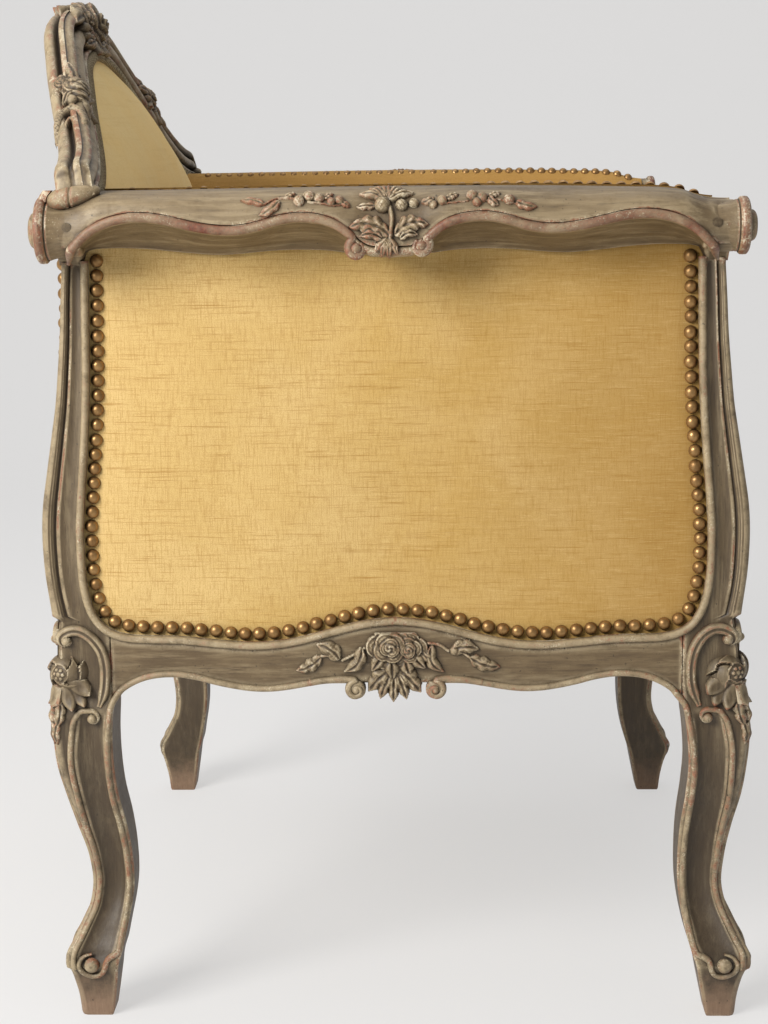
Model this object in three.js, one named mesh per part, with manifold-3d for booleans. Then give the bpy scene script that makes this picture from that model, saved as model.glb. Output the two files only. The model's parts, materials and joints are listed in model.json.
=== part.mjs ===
// Painted bergere with rolled arms and a low arched back.
// Millimetres, +Z up, floor at Z = 0. The sitter faces -Y, so the sitter's left is +X.
import * as THREE from 'three';
import Module from 'manifold-3d';

const wasm = await Module();
wasm.setup();

// Frame in plan
const frameHalfWidth = 320;      // outer faces of the side rails and posts
const frameHalfDepth = 285;      // outer faces of the front and back seat rails
const gap = 0.3;                 // clearance between pieces that touch
const overrun = 1;               // how far a cutter or tenon runs past its face

// Seat rails
const railUnder = 287;           // lowest point of a seat rail
const railHeight = 64;           // from there to the crown of the top bead
const railDepth = 45;
const railSteps = 10;            // lofting steps in half a rail
const bead = 3;                  // how far a bead stands before the flat of a rail
const beadWidth = 6;
const rebate = 13;               // step that the outer covers are nailed into
const tackStrip = 12;            // wood standing above the bead, behind the cover
const ledgeRise = 1;             // rails' inner top face above the crown of the top bead
const ledgeWidth = 25;

// Corner posts: cabriole leg and arm post in one piece
const kneeStep = 2;              // how far the post stands in past the rails that meet it
const legSweep = 27;             // how far the ankle is drawn in from the knee
const frontRake = 14;            // how far the front feet stand out past the back feet
const sideRake = 7;
const postDepth = 38;            // X thickness above the seat
const postBelly = 6;             // swell of the post past the rails, front and back
const postWaist = 25;            // how far the post draws in from its belly to the arm
const postFace = 31;             // width of its moulded face at the belly
const postRebateShare = 0.3;     // share of its Y thickness behind the outer cover
const postStep = 3;              // height in which the knee block turns into the post

// Arm rails
const armUnder = 645;            // underside, which is also the post's shoulder
const armThick = 60;
const rollOut = 46;              // how far the roll stands out past the frame
const armCove = 10;              // height of the cove line above the underside
const armInset = 17;             // how far the arm's square end stays within the frame's depth
const lipRise = 39;              // highest point of the roll's lip above the underside
const armInnerLip = 3;
const rollRadius = 24.5;
const voluteReach = 15;          // how far the turned ends stand past the arm's square ends
const bossRise = 4;
const rollFacets = 14;

// Back frame
const backInset = 38.4;          // from the frame's back to the inner cover's edge at arm height
const backSlope = 0.34;          // recline above the arms, run over rise
const lowerSlope = 0.06;         // recline below the arms
const backBend = 12;             // softness of the bend between them
const backBow = 10.6;            // how far the back's ends come forward
const archOverhang = 25;         // how far the arch's feet stand out over the arms
const archSettle = 3;            // how far the arch's feet sit below the arm's top
const archRise = 118;
const archFace = 42;             // width of the moulded face
const archEndFaceShare = 0.62;   // share of that width left at the arms
const archNoseLength = 9;        // rounded end of the moulding past the arch's foot
const archFront = 6;             // moulding in front of the cover's edge
const archBack = 23;             // wood behind it
const archTack = 12;
const archTackFront = 12.8;      // depth of the strip that the inner cover is nailed to
const archTackBack = 19;         // depth at which the outer cover meets the strip
const stileLength = 180;         // from the arch's foot to the joint with the crest
const crestSteps = 12;
const backStileWidth = 36;
const backStileInset = 21.5;     // from the frame's back to the stile's rear face

// Joinery
const tenonThick = 12;
const tenonLength = 20;
const tenonHeight = 28;
const armTenonHeight = 42;
const shoulder = 8;              // wood left on each side of the post's top tenon
const pegRadius = 3.5;
const pegFacets = 10;
const pegRise = 34;              // height of an arm peg above the underside

// Inner timber
const tackRailRise = 20;         // above the rails' inner top face
const tackRailHeight = 26;
const tackRailDepth = 18;
const blockReach = 85;
const blockHeight = 38;

// Upholstery
const coverThick = 4.5;
const backCoverThick = 3.5;
const coverEase = 1.2;           // how far a cover keeps clear of the moulding round it
const archEase = 2.5;            // the same under the arch of the back
const coverCrown = 4;
const hessianThick = 1.4;
const webWidth = 50;
const webThick = 2.2;
const webCount = 4;
const webPitch = 114;
const deckInset = 14;            // from the posts' inner faces to the deck's sides
const deckFrontInset = 14;       // from the frame's front to the deck's lip
const deckBackInset = 28.6;      // from the back's inner face to the deck
const deckRise = 32;             // edge of the deck above the rails' inner top face
const deckCrown = 8;
const armPadFrontInset = 27;
const armHessianInset = 26.6;
const padLift = 2;               // foot of the pads above the deck's crown
const armPadEdge = 18;
const armPadCrown = 11;
const padClearance = 5;          // between the arm pads and what stands between them
const backPadEdge = 2;           // how far its edge stands before the moulding's inner edge
const backPadDepth = 8;          // stuffing behind that edge
const backPadCrown = 28;
const cushionNose = 13;          // how far the cushion stands past the deck's lip
const cushionBackInset = 26;     // from the deck's back edge to the cushion
const cushionLift = 0.5;         // foot of the cushion above the deck's crown
const cushionThick = 92;
const cushionSquareness = 7;     // power of the superellipse that it is cut to
const cushionDraw = 9;           // how far its sides are drawn in between the corners
const cushionSides = 36;

// Leg outline up the height of the knee: [height share, share of the sweep drawn in]
const legSweepShares = [
  [0, 0.45], [0.06, 0.41], [0.11, 0.26], [0.15, 0.16], [0.19, 0.33], [0.24, 0.66], [0.29, 0.92],
  [0.34, 1], [0.4, 0.95], [0.47, 0.72], [0.54, 0.47], [0.61, 0.24], [0.68, 0.07], [0.76, 0], [1, 0.1],
];
// Leg thickness: [height share, share of the knee's depth]
const legThickShares = [
  [0, 0.63], [0.06, 0.7], [0.11, 0.84], [0.15, 0.95], [0.19, 0.91], [0.24, 0.79], [0.29, 0.71],
  [0.36, 0.71], [0.43, 0.78], [0.5, 0.85], [0.6, 0.93], [0.7, 1.06], [0.8, 1.05], [1, 1],
];
const legLevelShares = [0, 0.055, 0.1, 0.15, 0.19, 0.24, 0.29, 0.36, 0.45, 0.55, 0.65, 0.76, 1];
// Post outline between the rails and the arm: [height share, share of the waist drawn in]
const postWaistShares = [
  [0, 0.25], [0.1, 0.12], [0.22, 0], [0.3, 0.01], [0.42, 0.19], [0.55, 0.46], [0.72, 0.73], [0.9, 0.91],
  [1, 1],
];
// Width of the post's moulded face: [height share, share of the width at the belly]
const postFaceShares = [
  [0, 1.28], [0.1, 1], [0.28, 1], [0.42, 0.96], [0.55, 0.86], [0.72, 0.74], [0.9, 0.63], [1, 0.59],
];
const postLevelShares = [0.08, 0.18, 0.3, 0.42, 0.55, 0.75, 1];
// Plan of the leg, [share outwards in X, share outwards in Y]: shallow flutes between raised rims
const legPlanShares = [
  [0, 0.06], [0.06, 0], [0.35, 0], [0.75, 0], [0.93, 0.02], [1, 0.1], [1, 0.22], [0.93, 0.38], [0.93, 0.6],
  [1, 0.78], [0.99, 0.92], [0.92, 0.99], [0.78, 1], [0.6, 0.93], [0.38, 0.93], [0.22, 1], [0.1, 1],
  [0.02, 0.93], [0, 0.75], [0, 0.35],
];
// Seat rail edges along half a rail: [length share, height share]
const railUnderShares = [
  [0, 0.16], [0.25, 0.16], [0.38, 0.08], [0.5, 0.06], [0.63, 0.15], [0.78, 0.25], [0.88, 0.2],
  [0.95, 0.09], [1, 0],
];
const railTopShares = [
  [0, 1], [0.08, 0.97], [0.17, 0.91], [0.25, 0.82], [0.38, 0.71], [0.5, 0.675], [0.63, 0.71], [0.78, 0.76],
  [0.9, 0.775], [1, 0.83],
];
const armStationShares = [0, 0.08, 0.16, 0.23, 0.3, 0.38, 0.46, 0.55, 0.64, 0.73, 0.81, 0.87, 0.92, 0.94, 1];
// Lip under the roll along half an arm: [length share, share of the lip's rise]
const lipShares = [
  [0, 0.42], [0.06, 0.4], [0.11, 0.6], [0.17, 0.86], [0.24, 0.99], [0.3, 0.98], [0.38, 0.84], [0.46, 0.74],
  [0.54, 0.77], [0.64, 0.93], [0.73, 1], [0.8, 0.97], [0.88, 0.72], [0.94, 0.36], [1, 0.2],
];
// Height of the arch of the back: [width share, rise share]
const archShares = [
  [0, 1], [0.14, 0.965], [0.285, 0.855], [0.36, 0.735], [0.46, 0.585], [0.54, 0.44], [0.63, 0.28],
  [0.75, 0.13], [0.87, 0.04], [1, 0],
];
// Front of the back's moulding: [share of its face, share of its front]
const archFrontShares = [
  [0, 0.2], [0.05, -0.7], [0.14, -1], [0.23, -0.6], [0.32, 0], [0.48, -0.15], [0.62, -0.8], [0.74, -1],
  [0.88, -0.7], [0.97, 0.1],
];
// Rear of it: [share of its face, share of its back]
const archRearShares = [[1, 0.3], [1, 0.62], [0.94, 0.86], [0.82, 1], [0.1, 1]];
// Sections of a back stile's moulding, closer together at its rounded end
const stileShares = [0, 0.12, 0.24, 0.36, 0.48, 0.6, 0.71, 0.81, 0.9, 0.94, 0.97, 0.988, 0.997];
// Swell of the outer back cover below the arms: [height share, share of the swell]
const backCoverShares = [
  [0, 0.72], [0.18, 0.98], [0.35, 0.76], [0.52, 0.5], [0.7, 0.36], [0.87, 0.3], [1, 0],
];
const backCoverSwell = 19;
// Rings of the loose cushion from underneath to the crown: [share of the outline, height share]
const cushionRingShares = [
  [0.55, 0], [0.9, 0.015], [0.975, 0.05], [1, 0.16], [1.012, 0.4], [1, 0.64], [0.972, 0.76], [0.9, 0.83],
  [0.74, 0.89], [0.52, 0.94], [0.28, 0.98], [0.1, 1],
];

// Colours of the finished surfaces
const paintedWood = { color: 0x7d7158, roughness: 0.62 };
const bareWood = { color: 0xa98a63, roughness: 0.8 };
const velvet = { color: 0xc8a550, roughness: 0.9 };
const paleVelvet = { color: 0xbfa46a, roughness: 0.9 };
const sackcloth = { color: 0xa88d62, roughness: 0.95 };
const jute = { color: 0x8f744a, roughness: 0.95 };

// Levels and planes that several pieces share
const kneeHeight = railUnder + railHeight - beadWidth;
const kneeDepth = railDepth + kneeStep;
const seatLedge = railUnder + railHeight + ledgeRise;
const postInner = frameHalfWidth - postDepth;
const innerFaceX = frameHalfWidth - kneeDepth;
const innerFaceY = frameHalfDepth - kneeDepth;
const postReach = frameHalfDepth + postBelly;
const postFoot = seatLedge + postStep;
const armTop = armUnder + armThick;
const armHalfLength = frameHalfDepth - armInset;
const rollEnd = armHalfLength + voluteReach;
const backFaceAtArm = frameHalfDepth - backInset;
const backStileRear = frameHalfDepth - backStileInset;
const archHalfWidth = frameHalfWidth + archOverhang;
const archFoot = armTop - archSettle;
const crestHalfWidth = archHalfWidth - stileLength;
const tackRailUnder = seatLedge + tackRailRise;
const deckTop = seatLedge + deckRise;
const deckHalfWidth = postInner - deckInset;
const deckFront = frameHalfDepth - deckFrontInset;
const deckBackEdge = backFaceAtArm - deckBackInset;
const padFoot = deckTop + deckCrown + padLift;
const armPadFront = frameHalfDepth - armPadFrontInset;
const armHessianBack = backFaceAtArm - armHessianInset;
const armPadTop = armTop - tackStrip - bead * 2.5;
const armPadOuter = postInner - gap * 2 - hessianThick;
const backPadHalfWidth = armPadOuter - armPadEdge - armPadCrown - padClearance;
const cushionHalfWidth = backPadHalfWidth;
const cushionFoot = deckTop + deckCrown + cushionLift;
const cushionFront = deckFront + cushionNose;
const cushionBack = deckBackEdge - cushionBackInset;
const coverInnerX = postInner - armInnerLip - gap;

const chair = new THREE.Group();

// A smooth value read from a table of [place, value] rows.
function follow(table, place) {
  const last = table.length - 1;
  const at = THREE.MathUtils.clamp(place, table[0][0], table[last][0]);
  let k = 0;
  while (k < last - 1 && at > table[k + 1][0]) k++;
  const slope = (i) => {
    const before = table[Math.max(i - 1, 0)];
    const after = table[Math.min(i + 1, last)];
    return (after[1] - before[1]) / (after[0] - before[0]);
  };
  const span = table[k + 1][0] - table[k][0];
  const t = (at - table[k][0]) / span;
  const start = table[k][1];
  const end = table[k + 1][1];
  return start * (1 + 2 * t) * (1 - t) ** 2 + end * t * t * (3 - 2 * t)
    + span * (slope(k) * t * (1 - t) ** 2 - slope(k + 1) * t * t * (1 - t));
}

// Equal steps from 0 to 1.
function evenShares(steps) {
  return Array.from({ length: steps + 1 }, (_, k) => k / steps);
}

// A solid from points and faces, turned so that its faces point outwards.
function solid(points, faces) {
  let volume = 0;
  for (const [a, b, c] of faces) volume += points[a].dot(points[b].clone().cross(points[c]));
  const order = volume < 0 ? faces.map(([a, b, c]) => [a, c, b]) : faces;
  return new wasm.Manifold(new wasm.Mesh({
    numProp: 3,
    vertProperties: new Float32Array(points.flatMap((p) => [p.x, p.y, p.z])),
    triVerts: new Uint32Array(order.flat()),
  }));
}

// Triangles that close one ring of points; forwards keeps the ring's own direction.
function ringCap(ring, first, forwards) {
  const middle = ring.reduce((sum, p) => sum.add(p), new THREE.Vector3()).divideScalar(ring.length);
  const normal = new THREE.Vector3();
  ring.forEach((p, i) => {
    const next = ring[(i + 1) % ring.length];
    normal.add(p.clone().sub(middle).cross(next.clone().sub(middle)));
  });
  normal.normalize();
  const across = ring[1].clone().sub(ring[0]).projectOnPlane(normal).normalize();
  const up = normal.clone().cross(across);
  const flat = ring.map((p) => new THREE.Vector2(p.dot(across), p.dot(up)));
  const turn = (a, b, c) => THREE.ShapeUtils.area([flat[a], flat[b], flat[c]]);
  const left = flat.map((_, i) => i);
  const faces = [];
  while (left.length > 2) {
    let best = 0;
    let size = -Infinity;
    left.forEach((tip, i) => {
      const before = left[(i + left.length - 1) % left.length];
      const after = left[(i + 1) % left.length];
      const room = turn(before, tip, after);
      const blocked = left.some((p) => p !== before && p !== tip && p !== after
        && turn(before, tip, p) >= 0 && turn(tip, after, p) >= 0 && turn(after, before, p) >= 0);
      if (room > size && (room <= 0 || !blocked)) {
        best = i;
        size = room;
      }
    });
    const before = left[(best + left.length - 1) % left.length];
    const after = left[(best + 1) % left.length];
    faces.push([before, left[best], after]);
    left.splice(best, 1);
  }
  return faces.map(([a, b, c]) => (forwards ? [a, b, c] : [a, c, b]).map((i) => i + first));
}

// A closed body through rings of equally many points.
function loft(rings) {
  const count = rings[0].length;
  const faces = [];
  for (let r = 0; r < rings.length - 1; r++) {
    for (let i = 0; i < count; i++) {
      const a = r * count + i;
      const b = r * count + (i + 1) % count;
      faces.push([a, b, b + count], [a, b + count, a + count]);
    }
  }
  faces.push(...ringCap(rings[0], 0, false));
  faces.push(...ringCap(rings[rings.length - 1], (rings.length - 1) * count, true));
  return solid(rings.flat(), faces);
}

// A closed body between two surfaces over the same unit square.
function slab(front, back, across, up) {
  const layer = (across + 1) * (up + 1);
  const points = [];
  for (const surface of [front, back]) {
    for (let j = 0; j <= up; j++) {
      for (let i = 0; i <= across; i++) points.push(surface(i / across, j / up));
    }
  }
  const id = (i, j) => j * (across + 1) + i;
  const faces = [];
  for (let j = 0; j < up; j++) {
    for (let i = 0; i < across; i++) {
      const quad = [id(i, j), id(i + 1, j), id(i + 1, j + 1), id(i, j + 1)];
      const [a, b, c, d] = quad;
      faces.push([a, b, c], [a, c, d], [a + layer, c + layer, b + layer], [a + layer, d + layer, c + layer]);
    }
  }
  const edge = [];
  for (let i = 0; i < across; i++) edge.push(id(i, 0));
  for (let j = 0; j < up; j++) edge.push(id(across, j));
  for (let i = across; i > 0; i--) edge.push(id(i, up));
  for (let j = up; j > 0; j--) edge.push(id(0, j));
  edge.forEach((a, k) => {
    const b = edge[(k + 1) % edge.length];
    faces.push([a, a + layer, b + layer], [a, b + layer, b]);
  });
  return solid(points, faces);
}

// A solid from one of three's own closed geometries.
function solidOf(geometry) {
  const place = geometry.getAttribute('position');
  const known = new Map();
  const points = [];
  const spot = (i) => {
    const p = new THREE.Vector3().fromBufferAttribute(place, i);
    const key = p.toArray().map((v) => v.toFixed(4)).join();
    if (!known.has(key)) {
      known.set(key, points.length);
      points.push(p);
    }
    return known.get(key);
  };
  const index = geometry.index ? [...geometry.index.array] : [...Array(place.count).keys()];
  const faces = [];
  for (let k = 0; k < index.length; k += 3) {
    const face = [spot(index[k]), spot(index[k + 1]), spot(index[k + 2])];
    if (new Set(face).size === 3) faces.push(face);
  }
  return solid(points, faces);
}

// A box between two corners.
function block(low, high) {
  const size = high.map((v, i) => v - low[i]);
  const geometry = new THREE.BoxGeometry(...size);
  geometry.translate(...high.map((v, i) => (v + low[i]) / 2));
  return solidOf(geometry);
}

// A box given at +X, +Y, moved to another quarter of the plan and grown all round.
function quarterBlock(low, high, sideX, sideY, grow = 0) {
  const sides = [sideX, sideY, 1];
  const a = low.map((v, i) => (v - grow) * sides[i]);
  const b = high.map((v, i) => (v + grow) * sides[i]);
  return block(a.map((v, i) => Math.min(v, b[i])), a.map((v, i) => Math.max(v, b[i])));
}

function add(name, body, look) {
  const mesh = body.getMesh();
  const geometry = new THREE.BufferGeometry();
  geometry.setAttribute('position', new THREE.BufferAttribute(new Float32Array(mesh.vertProperties), 3));
  geometry.setIndex(new THREE.BufferAttribute(new Uint32Array(mesh.triVerts), 1));
  geometry.computeVertexNormals();
  const piece = new THREE.Mesh(geometry, new THREE.MeshStandardMaterial({ ...look, metalness: 0 }));
  piece.name = name;
  chair.add(piece);
}

// Height of a seat rail's top bead above the floor at a share of its half length.
function railTopAt(share) {
  return railUnder + railHeight * follow(railTopShares, Math.abs(share));
}

// Section of a seat rail: [depth behind its outer face, height].
function railSection(share) {
  const under = railUnder + railHeight * follow(railUnderShares, Math.abs(share));
  const top = railTopAt(share);
  return [
    [railDepth, under + bead], [bead, under], [0, under + bead / 2], [0, under + beadWidth],
    [bead, under + beadWidth + bead], [bead, top - beadWidth - bead],
    [0, top - beadWidth], [0, top - bead / 2],
    [bead, top], [rebate, top], [rebate, top + tackStrip], [rebate + tackStrip / 3, top + tackStrip],
    [railDepth - ledgeWidth, seatLedge], [railDepth, seatLedge],
  ];
}

// Tenons of the seat rails, given at +X, +Y. The long sides' tenons stand outside the short ones.
const tenonUnder = railUnder + railHeight / 4;
const sideTenon = [
  [frameHalfWidth - railDepth / 2 - tenonThick / 2, innerFaceY - overrun, tenonUnder],
  [frameHalfWidth - railDepth / 2 + tenonThick / 2, innerFaceY + tenonLength, tenonUnder + tenonHeight],
];
const crossTenon = [
  [innerFaceX - overrun, frameHalfDepth - railDepth / 2 - tenonThick / 2, tenonUnder],
  [innerFaceX + tenonLength * 0.8, frameHalfDepth - railDepth / 2 + tenonThick / 2, tenonUnder + tenonHeight],
];

// A seat rail: place turns (along, depth, height) into a point.
function seatRail(halfLength, place) {
  const rings = [];
  for (let k = -railSteps; k <= railSteps; k++) {
    const share = k / railSteps;
    rings.push(railSection(share).map(([depth, height]) => place(share * halfLength, depth, height)));
  }
  return loft(rings);
}

function sideSeatRail(side) {
  const rail = seatRail(innerFaceY - gap,
    (along, depth, height) => new THREE.Vector3(side * (frameHalfWidth - depth), along, height));
  return rail.add(quarterBlock(...sideTenon, side, 1)).add(quarterBlock(...sideTenon, side, -1));
}

function crossSeatRail(side) {
  const rail = seatRail(innerFaceX - gap,
    (along, depth, height) => new THREE.Vector3(along, side * (frameHalfDepth - depth), height));
  return rail.add(quarterBlock(...crossTenon, 1, side)).add(quarterBlock(...crossTenon, -1, side));
}

// Inner and outer Y of a post at a height between the knee and the arm.
function postReachAt(height) {
  const share = THREE.MathUtils.clamp((height - kneeHeight) / (armUnder - kneeHeight), 0, 1);
  const outer = postReach - postWaist * follow(postWaistShares, share);
  const face = postFace * follow(postFaceShares, share);
  return [Math.max(outer - face / (1 - postRebateShare), innerFaceY), outer];
}

// Plan of the post, [share outwards in X, share outwards in Y]: moulded faces beside two rebates.
function postPlan() {
  const stepX = 1 - rebate / postDepth;
  const stepY = 1 - postRebateShare;
  return [
    [0, 0.04], [0.04, 0], [stepX / 2, 0], [stepX, 0], [stepX, postRebateShare], [0.95, postRebateShare],
    [1, 0.37], [0.98, 0.5], [0.95, 0.62], [0.99, 0.82], [0.98, 0.94], [0.93, 0.99], [0.8, 1], [0.62, 0.95],
    [0.44, 0.96], [0.35, 1], [0.3, 0.96], [0.3, stepY], [0.04, stepY], [0, stepY - 0.04],
  ];
}

// The plan of a corner post at one height, in the +X, +Y quarter.
function cornerPlan(height, rake) {
  const legShare = Math.min(height / kneeHeight, 1);
  const rakeShare = 1 - THREE.MathUtils.smoothstep(legShare, 0.3, 0.95);
  const sweep = legSweep * follow(legSweepShares, legShare);
  const thick = kneeDepth * follow(legThickShares, legShare);
  const legX = frameHalfWidth + bead - sweep + sideRake * rakeShare;
  const legY = frameHalfDepth + bead - sweep + rake * rakeShare;
  const turn = THREE.MathUtils.smoothstep(height, seatLedge, postFoot);
  const [postLow, postHigh] = postReachAt(height);
  const mix = THREE.MathUtils.lerp;
  const lowX = mix(legShare > 0.75 ? innerFaceX : legX - thick, postInner, turn);
  const highX = mix(legX, frameHalfWidth, turn);
  const lowY = mix(legShare > 0.75 ? innerFaceY : legY - thick, postLow, turn);
  const highY = mix(legY, postHigh, turn);
  const plan = postPlan();
  return legPlanShares.map(([u, v], i) => new THREE.Vector2(
    mix(lowX, highX, mix(u, plan[i][0], turn)),
    mix(lowY, highY, mix(v, plan[i][1], turn)),
  ));
}

// Tenon on top of a post, and the peg that crosses it, at +X, +Y.
const [postTopLow, postTopHigh] = postReachAt(armUnder);
const armTenonRoom = (postTopHigh - postTopLow) / 5;
const armTenon = [
  [postInner + shoulder, postTopLow + armTenonRoom, armUnder - overrun],
  [frameHalfWidth - rebate - bead, postTopHigh - armTenonRoom, armUnder + armTenonHeight],
];
function armPeg(sideX, sideY, grow) {
  const long = postDepth + rollOut - shoulder;
  const geometry = new THREE.CylinderGeometry(pegRadius + grow, pegRadius + grow, long + grow * 2, pegFacets);
  geometry.rotateZ(Math.PI / 2);
  geometry.translate(
    sideX * (postInner + shoulder / 2 + long / 2),
    sideY * (postTopLow + postTopHigh) / 2,
    armUnder + pegRise,
  );
  return solidOf(geometry);
}

const postLevels = [
  seatLedge, postFoot, ...postLevelShares.map((share) => kneeHeight + share * (armUnder - gap - kneeHeight)),
];
function cornerPost(sideX, sideY) {
  const rake = sideY < 0 ? frontRake : 0;
  const heights = [...legLevelShares.map((share) => share * kneeHeight), ...postLevels];
  const rings = heights.map((height) => cornerPlan(height, rake).map(
    (p) => new THREE.Vector3(sideX * p.x, sideY * p.y, height)));
  return loft(rings)
    .add(quarterBlock(...armTenon, sideX, sideY))
    .subtract(quarterBlock(...sideTenon, sideX, sideY, gap))
    .subtract(quarterBlock(...crossTenon, sideX, sideY, gap))
    .subtract(armPeg(sideX, sideY, gap));
}

// Section of an arm rail at one place along it: [distance out from the frame's face, height].
function armSection(along) {
  const share = Math.abs(along) / armHalfLength;
  const nearPost = THREE.MathUtils.smoothstep(share, 0.92, 0.94);
  const cove = armUnder + THREE.MathUtils.lerp(armCove, armCove / 6, nearPost);
  const lip = armUnder + lipRise * follow(lipShares, share);
  const top = armTop - (along < 0 ? bead * 2 : 0) * THREE.MathUtils.smoothstep(share, 0.8, 0.95);
  const rise = lip - cove;
  return [
    [-postDepth, armUnder], [-rebate - gap, armUnder], [-rebate - gap, cove], [-bead, cove],
    [0, cove + bead], [rollOut * 0.26, cove + rise * 0.35], [rollOut * 0.57, cove + rise * 0.6],
    [rollOut * 0.8, lip - bead], [rollOut * 0.92, lip], [rollOut * 0.98, lip + bead],
    [rollOut, (lip + top) / 2], [rollOut * 0.92, top - bead * 2], [rollOut * 0.74, top - bead / 3],
    [rollOut * 0.3, top], [-rollOut * 0.4, top - bead / 3], [-postDepth, top - bead / 3],
    [-postDepth - armInnerLip, top - bead], [-postDepth - armInnerLip, top - tackStrip],
    [-postDepth, top - tackStrip - bead],
  ];
}

// Turned end of the roll: a disc with a rounded edge, a sunk ring and a raised button.
function rollVolute(side, end) {
  const radius = rollRadius - (end < 0 ? bead : 0);
  const root = armHalfLength - rollRadius / 2;
  const profile = [
    [0, root], [radius * 0.85, root], [radius, root + bead], [radius, rollEnd - bead],
    [radius * 0.88, rollEnd],
    [radius * 0.62, rollEnd], [radius * 0.56, rollEnd - bead / 2], [radius * 0.45, rollEnd + bossRise / 2],
    [radius * 0.25, rollEnd + bossRise], [0, rollEnd + bossRise],
  ].map(([r, y]) => new THREE.Vector2(r, y));
  const geometry = new THREE.LatheGeometry(profile, rollFacets);
  if (end < 0) geometry.rotateX(Math.PI);
  geometry.translate(side * (frameHalfWidth + rollOut - rollRadius), 0, armTop - rollRadius - bead * 1.5);
  return solidOf(geometry);
}

function armRail(side) {
  const stations = [...armStationShares.slice(1).reverse().map((share) => -share), ...armStationShares];
  let rail = loft(stations.map((share) => armSection(share * armHalfLength).map(
    ([out, height]) => new THREE.Vector3(side * (frameHalfWidth + out), share * armHalfLength, height))));
  for (const end of [-1, 1]) {
    rail = rail.add(rollVolute(side, end))
      .subtract(quarterBlock(...armTenon, side, end, gap))
      .subtract(armPeg(side, end, gap));
  }
  return rail;
}

// Y of the inner cover's edge plane at any place on the back.
function backFace(x, height) {
  const above = (height - armTop) / backBend;
  const bend = backBend * (Math.max(above, 0) + Math.log1p(Math.exp(-Math.abs(above))));
  return backFaceAtArm + lowerSlope * (height - armTop) + (backSlope - lowerSlope) * bend
    - backBow * (x / archHalfWidth) ** 2;
}

function archHeight(x) {
  return archFoot + archRise * follow(archShares, Math.abs(x) / archHalfWidth);
}

// Top edge of a cover that ends under the arch, at a depth behind the inner cover's edge.
function archEdge(x, depth) {
  return archHeight(x) - archEase - backSlope * Math.max(depth, 0);
}

// One ring of the back's moulding at x: section rows are [distance outwards, depth].
function archRing(x, section) {
  const spot = (at) => new THREE.Vector3(at, backFace(at, archHeight(at)), archHeight(at));
  const step = bead / 2;
  const along = spot(x + step).sub(spot(x - step)).normalize();
  const height = archHeight(x);
  const slope = (backFace(x, height + step) - backFace(x, height - step)) / (step * 2);
  const depth = new THREE.Vector3((2 * backBow * x) / archHalfWidth ** 2, 1, -slope).normalize();
  const out = along.clone().cross(depth);
  return section.map(([o, d]) => spot(x).addScaledVector(out, o).addScaledVector(depth, d));
}

function archSection(x) {
  const narrow = THREE.MathUtils.smoothstep(Math.abs(x) / archHalfWidth, 0.5, 1);
  const noseStart = archHalfWidth - archNoseLength;
  const past = THREE.MathUtils.clamp((Math.abs(x) - noseStart) / (archNoseLength * 2), 0, 1);
  const face = archFace * THREE.MathUtils.lerp(1, archEndFaceShare, narrow) * Math.sqrt(1 - past * past);
  return [
    [-archTack, archTackFront], [0, archTackFront],
    ...archFrontShares.map(([o, d]) => [o * face, d * archFront]),
    ...archRearShares.map(([o, d]) => [o * face, d * archBack]),
    [0, archTackBack], [-archTack, archTackBack],
  ];
}

// A length of the back's moulding, swept from one x to another through shares of the way.
function archSweep(from, to, shares, sectionAt) {
  return loft(shares.map((share) => {
    const x = THREE.MathUtils.lerp(from, to, share);
    return archRing(x, sectionAt(x));
  }));
}

// Tenon between the crest and a back stile.
function crestTenon(side, grow) {
  const low = archFace * 0.36 - grow;
  const high = archFace * 0.7 + grow;
  const near = archBack * 0.22 - grow;
  const far = archBack * 0.22 + tenonThick / 1.5 + grow;
  const section = [[low, near], [high, near], [high, far], [low, far]];
  const [from, to] = [crestHalfWidth - overrun, crestHalfWidth + tenonLength + grow];
  return archSweep(side * from, side * to, [0, 0.5, 1], () => section);
}

function crestRail() {
  const crest = archSweep(-crestHalfWidth, crestHalfWidth, evenShares(crestSteps), archSection);
  return crest.add(crestTenon(1, 0)).add(crestTenon(-1, 0));
}

// A back stile: swept moulding over the arm, and a post down to the back seat rail.
function backStile(side) {
  const joint = crestHalfWidth + gap * 1.5;
  const sweep = archSweep(side * joint, side * (archHalfWidth + archNoseLength), stileShares, archSection);
  const inner = coverInnerX - backStileWidth;
  const foot = seatLedge + gap;
  const rows = [
    [foot, innerFaceX - gap, 0], [postFoot, coverInnerX, 0], [kneeHeight + armUnder * 0.3, coverInnerX, 0],
    [armUnder, coverInnerX, 0.08], [armTop, coverInnerX, 0.26],
  ];
  const rings = rows.map(([height, outer, drawn]) => {
    const front = backFace(inner, height) + archTackFront + hessianThick / 2;
    const rear = backStileRear - archBack * drawn;
    return [[inner, front], [outer, front], [outer, rear], [inner, rear]].map(
      ([x, y]) => new THREE.Vector3(side * x, y, height));
  });
  const overArm = quarterBlock(
    [coverInnerX, innerFaceY - railDepth, armUnder],
    [archHalfWidth + archFace, rollEnd + archFace, armTop + gap], side, 1);
  return sweep.subtract(overArm).add(loft(rings)).subtract(crestTenon(side, gap));
}

// Corner block under the seat ledge, notched round the post.
function cornerBlock(sideX, sideY) {
  const faceX = frameHalfWidth - railDepth - gap;
  const faceY = frameHalfDepth - railDepth - gap;
  const plan = [
    [faceX - blockReach, faceY], [faceX, faceY - blockReach], [faceX, innerFaceY - gap],
    [innerFaceX - gap, innerFaceY - gap], [innerFaceX - gap, faceY],
  ];
  const shape = new THREE.Shape(plan.map(([x, y]) => new THREE.Vector2(sideX * x, sideY * y)));
  const geometry = new THREE.ExtrudeGeometry(shape, { depth: blockHeight, bevelEnabled: false });
  geometry.translate(0, 0, seatLedge - gap - blockHeight);
  return solidOf(geometry);
}

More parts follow.
